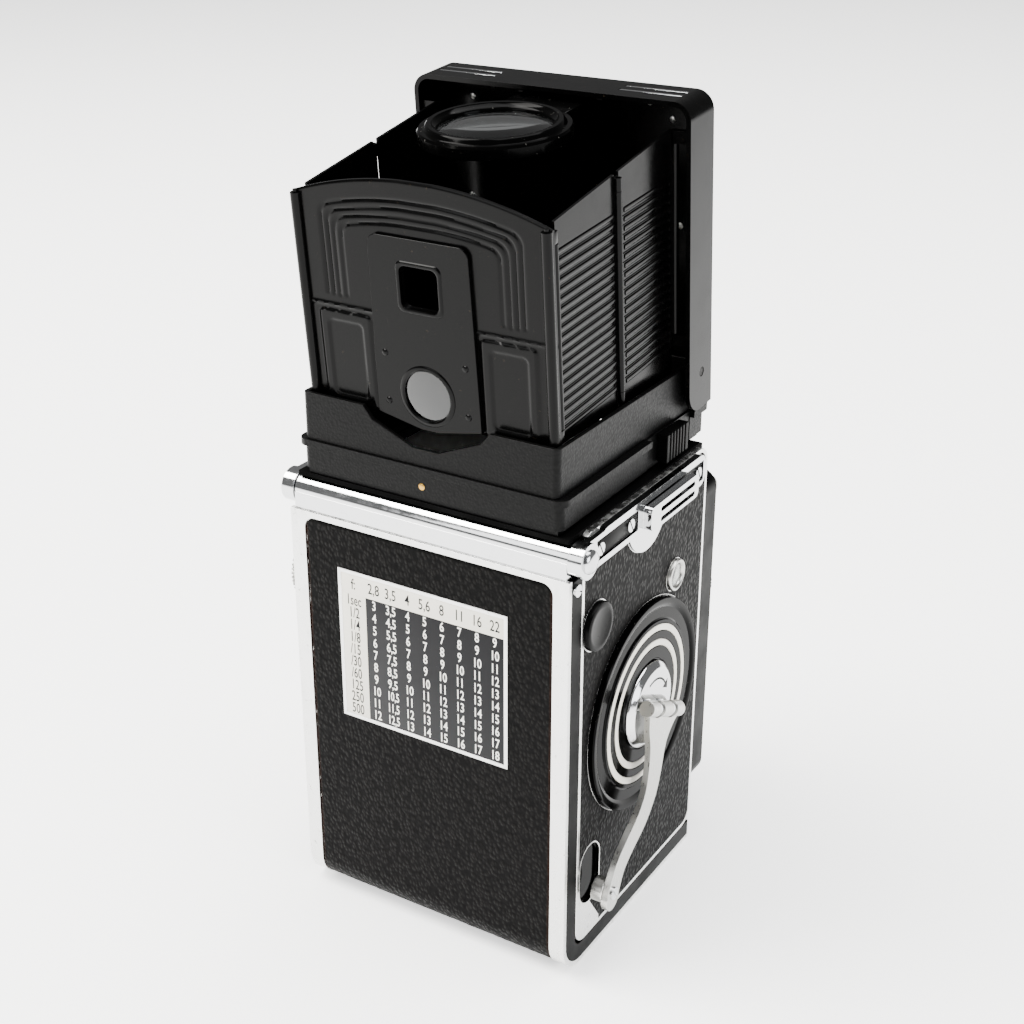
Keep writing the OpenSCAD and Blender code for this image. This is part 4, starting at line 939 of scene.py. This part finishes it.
# a round-ended upright outline in Y and Z
def pocketLoop(radius, steps=18):
    points = []
    for k in range(steps + 1):
        turn = math.pi * k / steps
        points.append((pocket["y"] + radius * math.cos(turn), pocket["high"] + radius * math.sin(turn)))
    for k in range(steps + 1):
        turn = math.pi + math.pi * k / steps
        points.append((pocket["y"] + radius * math.cos(turn), pocket["low"] + radius * math.sin(turn)))
    return points


def makePocket():
    p = pocket
    inner = p["radius"] - p["wall"]
    levels = [(p["radius"], p["floor"] - 0.04), (p["radius"], p["face"]), (inner, p["face"]),
              (inner, p["floor"] + 0.35), (inner - 0.3, p["floor"] + 0.04)]
    bm = bmesh.new()
    loops = [[bm.verts.new((-x * mm, y * mm, z * mm)) for y, z in pocketLoop(radius)]
             for radius, x in levels]
    stitch(bm, loops)
    bm.faces.new(loops[0])
    bm.faces.new(loops[-1])
    bmesh.ops.recalc_face_normals(bm, faces=bm.faces)
    return meshFrom(bm, "knobPocket", None, 40)


addPiece("knobPocketLining", makePocket(), glossEnamel, "body", "black_enamel")

# a plain curved arrow on the hub shows the way the crank turns
arrow = {"radius": 7.2, "width": 0.55, "from": 70, "to": 150, "face": 42.83, "head": 1.5}


def makeArrow():
    bm = bmesh.new()
    steps = 16
    turns = [math.radians(arrow["from"] + (arrow["to"] - arrow["from"]) * k / steps)
             for k in range(steps + 1)]
    outline = [(math.cos(t) * (arrow["radius"] + arrow["width"] / 2),
                math.sin(t) * (arrow["radius"] + arrow["width"] / 2)) for t in turns]
    end = turns[-1]
    for radial, ahead in ((arrow["head"], 0.0), (0.0, arrow["head"] * 1.5), (-arrow["head"], 0.0)):
        r = arrow["radius"] + radial
        outline.append((math.cos(end) * r - math.sin(end) * ahead,
                        math.sin(end) * r + math.cos(end) * ahead))
    outline += [(math.cos(t) * (arrow["radius"] - arrow["width"] / 2),
                 math.sin(t) * (arrow["radius"] - arrow["width"] / 2)) for t in reversed(turns)]
    verts = [bm.verts.new((-(arrow["face"] - 0.1) * mm, (crank["y"] + a) * mm, (crank["z"] + b) * mm))
             for a, b in outline]
    face = bm.faces.new(verts)
    made = bmesh.ops.extrude_face_region(bm, geom=[face])
    moved = [v for v in made["geom"] if isinstance(v, bmesh.types.BMVert)]
    bmesh.ops.translate(bm, vec=(-0.1 * mm, 0, 0), verts=moved)
    bmesh.ops.triangulate(bm, faces=[f for f in bm.faces if len(f.verts) > 4])
    bmesh.ops.recalc_face_normals(bm, faces=bm.faces)
    return meshFrom(bm, "hubArrow")


addPiece("hubArrow", makeArrow(), blackFill, "crank_hub", "chrome")

# slotted rivet near the arm's tip that carries the knob
armRivet = grow(screwTree, {"Radius": 1.7 * mm, "Height": 0.7 * mm, "Slot": 0.4 * mm, "Turn": 0.6,
                            "Material": chrome}, at(crank["tip"]) @ towardCrank, pointsMesh([(0, 0, 0)]),
                "armRivet")
addPiece("armRivet", armRivet, chrome, "crank_arm", "chrome")

capOutline = [(0, 39.4), (6.2, 39.4), (6.2, 40.5), (6.0, 40.85), (5.5, 41.05), (4.6, 41.0), (4.3, 40.88),
              (0, 40.84)]
addPiece("portCap", turned(capOutline, (0, 22.5, 95), toCrankSide, 72, "portCap"), moulded, "body",
         "cap_plastic", "port_cap")
# rim and glass of the frame counter's window
counterPlace = (0, -18.8, 90.5)
windowOutline = [(2.9, 38.0), (2.9, 39.9), (3.15, 40.35), (3.6, 40.6), (4.05, 40.5), (4.3, 40.1),
                 (4.3, 39.4), (3.7, 39.4), (3.7, 38.0)]
addPiece("counterWindow", turned(windowOutline, counterPlace, toCrankSide, 64, "counterWindow"),
         satinChrome, "body", "chrome", "counter_bezel")
windowGlass = turned([(0, 39.75), (2.85, 39.75), (2.85, 39.95), (2.0, 40.1), (0, 40.15)], counterPlace,
                     toCrankSide, 40, "windowGlass")
addPiece("counterGlass", windowGlass, clearGlass, "body", "glass")

# what both strap lugs carry, at distances from the middle plane
lug = {"screwX": 40.75, "screwYs": (24, 9.4, -26.7), "screwZ": 115.9, "infillFrom": 40.6, "infillTo": 40.88,
       "infillYs": ((6.1, 26.1), (-29.2, 2.3)), "infillLow": 113.5, "infillHigh": 118.5,
       "dome": (0, 31, 115.8), "doorScrew": (39.8, 32.4, 108.6)}

for side, facing in ((-1, towardCrank), (1, towardFocus)):
    heads = grow(screwTree, {"Radius": 1.6 * mm, "Height": 1.1 * mm, "Slot": 0.42 * mm, "Turn": 0.5,
                             "Material": chrome}, None, pointsMesh([(0, 0, 0)]), "lugScrew")
    copies = []
    for y in lug["screwYs"]:
        copy = heads.copy()
        copy.transform(at((side * lug["screwX"], y, lug["screwZ"])) @ facing)
        copies.append(copy)
    label = "Crank" if side < 0 else "Focus"
    named = ("lug_screws",) if side < 0 else ()
    addPiece(f"lugScrews{label}", joinMeshes(copies, "lugScrews" + label), chrome, "body", "chrome", *named)
    # black infill on the floor of the lug's two recesses
    infill = bmesh.new()
    xs = sorted((side * lug["infillFrom"], side * lug["infillTo"]))
    for ends in lug["infillYs"]:
        softBlock(infill, (xs[0], ends[0], lug["infillLow"]), (xs[1], ends[1], lug["infillHigh"]), 0.08)
    addPiece(f"lugInfill{label}", meshFrom(infill, "lugInfill"), satinPaint, "body", "satin_black")
    # domed screw on the hinge knuckle
    dome = turned([(0, 42.2), (2.9, 42.2), (2.9, 42.5), (2.6, 42.95), (1.9, 43.3), (0.9, 43.45),
                   (0, 43.48)], lug["dome"], (side, 0, 0), 40, "hingeDome")
    addPiece(f"hingeDome{label}", dome, chrome, "body", "chrome")
    # small screw that holds the door's corner
    x, y, z = lug["doorScrew"]
    small = grow(screwTree, {"Radius": 1.5 * mm, "Height": 0.9 * mm, "Slot": 0.36 * mm, "Turn": 1.1,
                             "Material": chrome}, at((side * x, y, z)) @ facing, pointsMesh([(0, 0, 0)]),
                 "doorScrew")
    addPiece(f"doorScrew{label}", small, chrome, "door", "chrome")

# brass screw in the back of the hood base
dot = turned([(0, 33.0), (0.85, 33.0), (0.85, 33.6), (0.6, 33.75), (0, 33.78)], (1.4, 0, 125), toBack, 28,
             "brassScrew")
addPiece("hoodScrew", dot, brass, "body", "crinkle_paint")
print("crank side made")


# knurled grips on the knobs of the focus side
for node, body, radius, count, spot, span in (
        ("focusKnobGrip", "focus_knob", 17.35, 84, (3, 62), (43.6, 49.9)),
        ("supplyKnobGrip", "supply_knob", 7.85, 44, (-12, 15.2), (40.3, 45.4)),
        ("takeupKnobGrip", "takeup_knob", 9.85, 54, (19.5, 88.5), (40.3, 45.4))):
    middle = (span[0] + span[1]) / 2
    placing = at((middle, spot[0], spot[1])) @ towardFocus
    mesh = grow(knurlTree, {"Count": count, "Radius": radius * mm, "Width": (span[1] - span[0]) * mm,
                            "Bar": 0.32 * mm, "Material": satinChrome}, placing, None, node)
    addPiece(node, mesh, satinChrome, body, "satin_chrome")

# knurled rims and bright faces of the two wheels on the lens board
wheel = {"x": 24, "y": -54.1, "z": 70.5, "radius": 9.55, "width": 2.4, "bar": 0.3, "bars": 48}
for node, x in (("aperture_wheel", -wheel["x"]), ("shutter_wheel", wheel["x"])):
    placing = at((x, wheel["y"], wheel["z"])) @ towardFront
    mesh = grow(knurlTree, {"Count": wheel["bars"], "Radius": wheel["radius"] * mm,
                            "Width": wheel["width"] * mm, "Bar": wheel["bar"] * mm, "Material": anodised},
                placing, None, node + "Grip")
    addPiece(node.replace("_wheel", "WheelGrip"), mesh, anodised, node, "satin_black")
    face = turned([(0, 55.9), (5.6, 55.9), (6.0, 56.1), (5.6, 56.35), (2.2, 56.4), (1.8, 56.2), (0, 56.15)],
                  (x, 0, wheel["z"]), toFront, 48, "wheelFace")
    addPiece(node.replace("_wheel", "WheelFace"), face, satinChrome, node, "satin_black")

# glass of the two lenses and the ring that holds each
for name, node, z, front, bulge in (("viewingLens", "viewing_lens", 88, 58.4, 2.6),
                                    ("takingLens", "taking_lens", 46, 59.3, 2.2)):
    mesh = turned(lensOutline(13.0, front - 4.4, front - bulge, 0.0, bulge, 20), (0, 0, z), toFront, 96,
                  name, 60)
    addPiece(name, mesh, lensGlass, "lens_group", "glass", node)
    ringMesh = turned([(13.0, front - 1.8), (13.0, front - 0.3), (13.4, front + 0.1), (15.0, front + 0.6),
                       (15.0, front - 1.8)], (0, 0, z), toFront, 96, name + "Ring")
    addPiece(name + "Ring", ringMesh, anodised, "lens_group", "satin_black")
print("front made")


# matt backdrop paper, faintly mottled
paper = makePaint("backdropPaper", "#f4f4f3", "#eeeeec", 0.85, 0.95, 3.0, 0.01)
paper.node_tree.nodes["Principled BSDF"].inputs["Emission Color"].default_value = toLinear("#ffffff")
paper.node_tree.nodes["Principled BSDF"].inputs["Emission Strength"].default_value = 1.1
bm = bmesh.new()
bmesh.ops.create_grid(bm, x_segments=2, y_segments=2, size=4.0)
floorPiece = addObject("floor", meshFrom(bm, "floor"))
floorPiece.location.z = cadLow.z
floorPiece.data.materials.append(paper)

lights = {"key": ((0.75, 0.45, 1.35), 0.9, 72, "#fffdf9"), "top": ((-0.1, -0.25, 1.7), 1.6, 86, "#ffffff"),
          "crankSide": ((-1.25, 0.25, 0.55), 0.7, 10, "#f8fbff"),
          "back": ((0.5, 1.5, 0.8), 0.8, 9, "#ffffff")}
for name, (place, size, power, colour) in lights.items():
    data = bpy.data.lights.new(name, "AREA")
    data.shape = "SQUARE"
    data.size = size
    data.energy = power
    data.color = toLinear(colour)[:3]
    lamp = addObject(name, data)
    lamp.location = place
    lamp.rotation_euler = (Vector((0, 0, 0.1)) - Vector(place)).to_track_quat("-Z", "Y").to_euler()
world = bpy.data.worlds.new("studio")
bpy.context.scene.world = world
world.use_nodes = True
world.node_tree.nodes["Background"].inputs["Color"].default_value = toLinear("#ffffff")
world.node_tree.nodes["Background"].inputs["Strength"].default_value = 0.25

shot = {"place": (-0.19998, 0.32138, 0.2805), "toward": (0.4793, -0.7776, -0.4069), "lens": 58.0,
        "shift": (0.0026, -0.0218)}
cameraData = bpy.data.cameras.new("camera")
cameraData.lens = shot["lens"]
cameraData.sensor_width = 36
cameraData.shift_x, cameraData.shift_y = shot["shift"]
cameraData.clip_start = 0.01
camera = addObject("camera", cameraData)
camera.location = shot["place"]
camera.rotation_euler = Vector(shot["toward"]).to_track_quat("-Z", "Y").to_euler()
bpy.context.scene.camera = camera

print("scene ready")
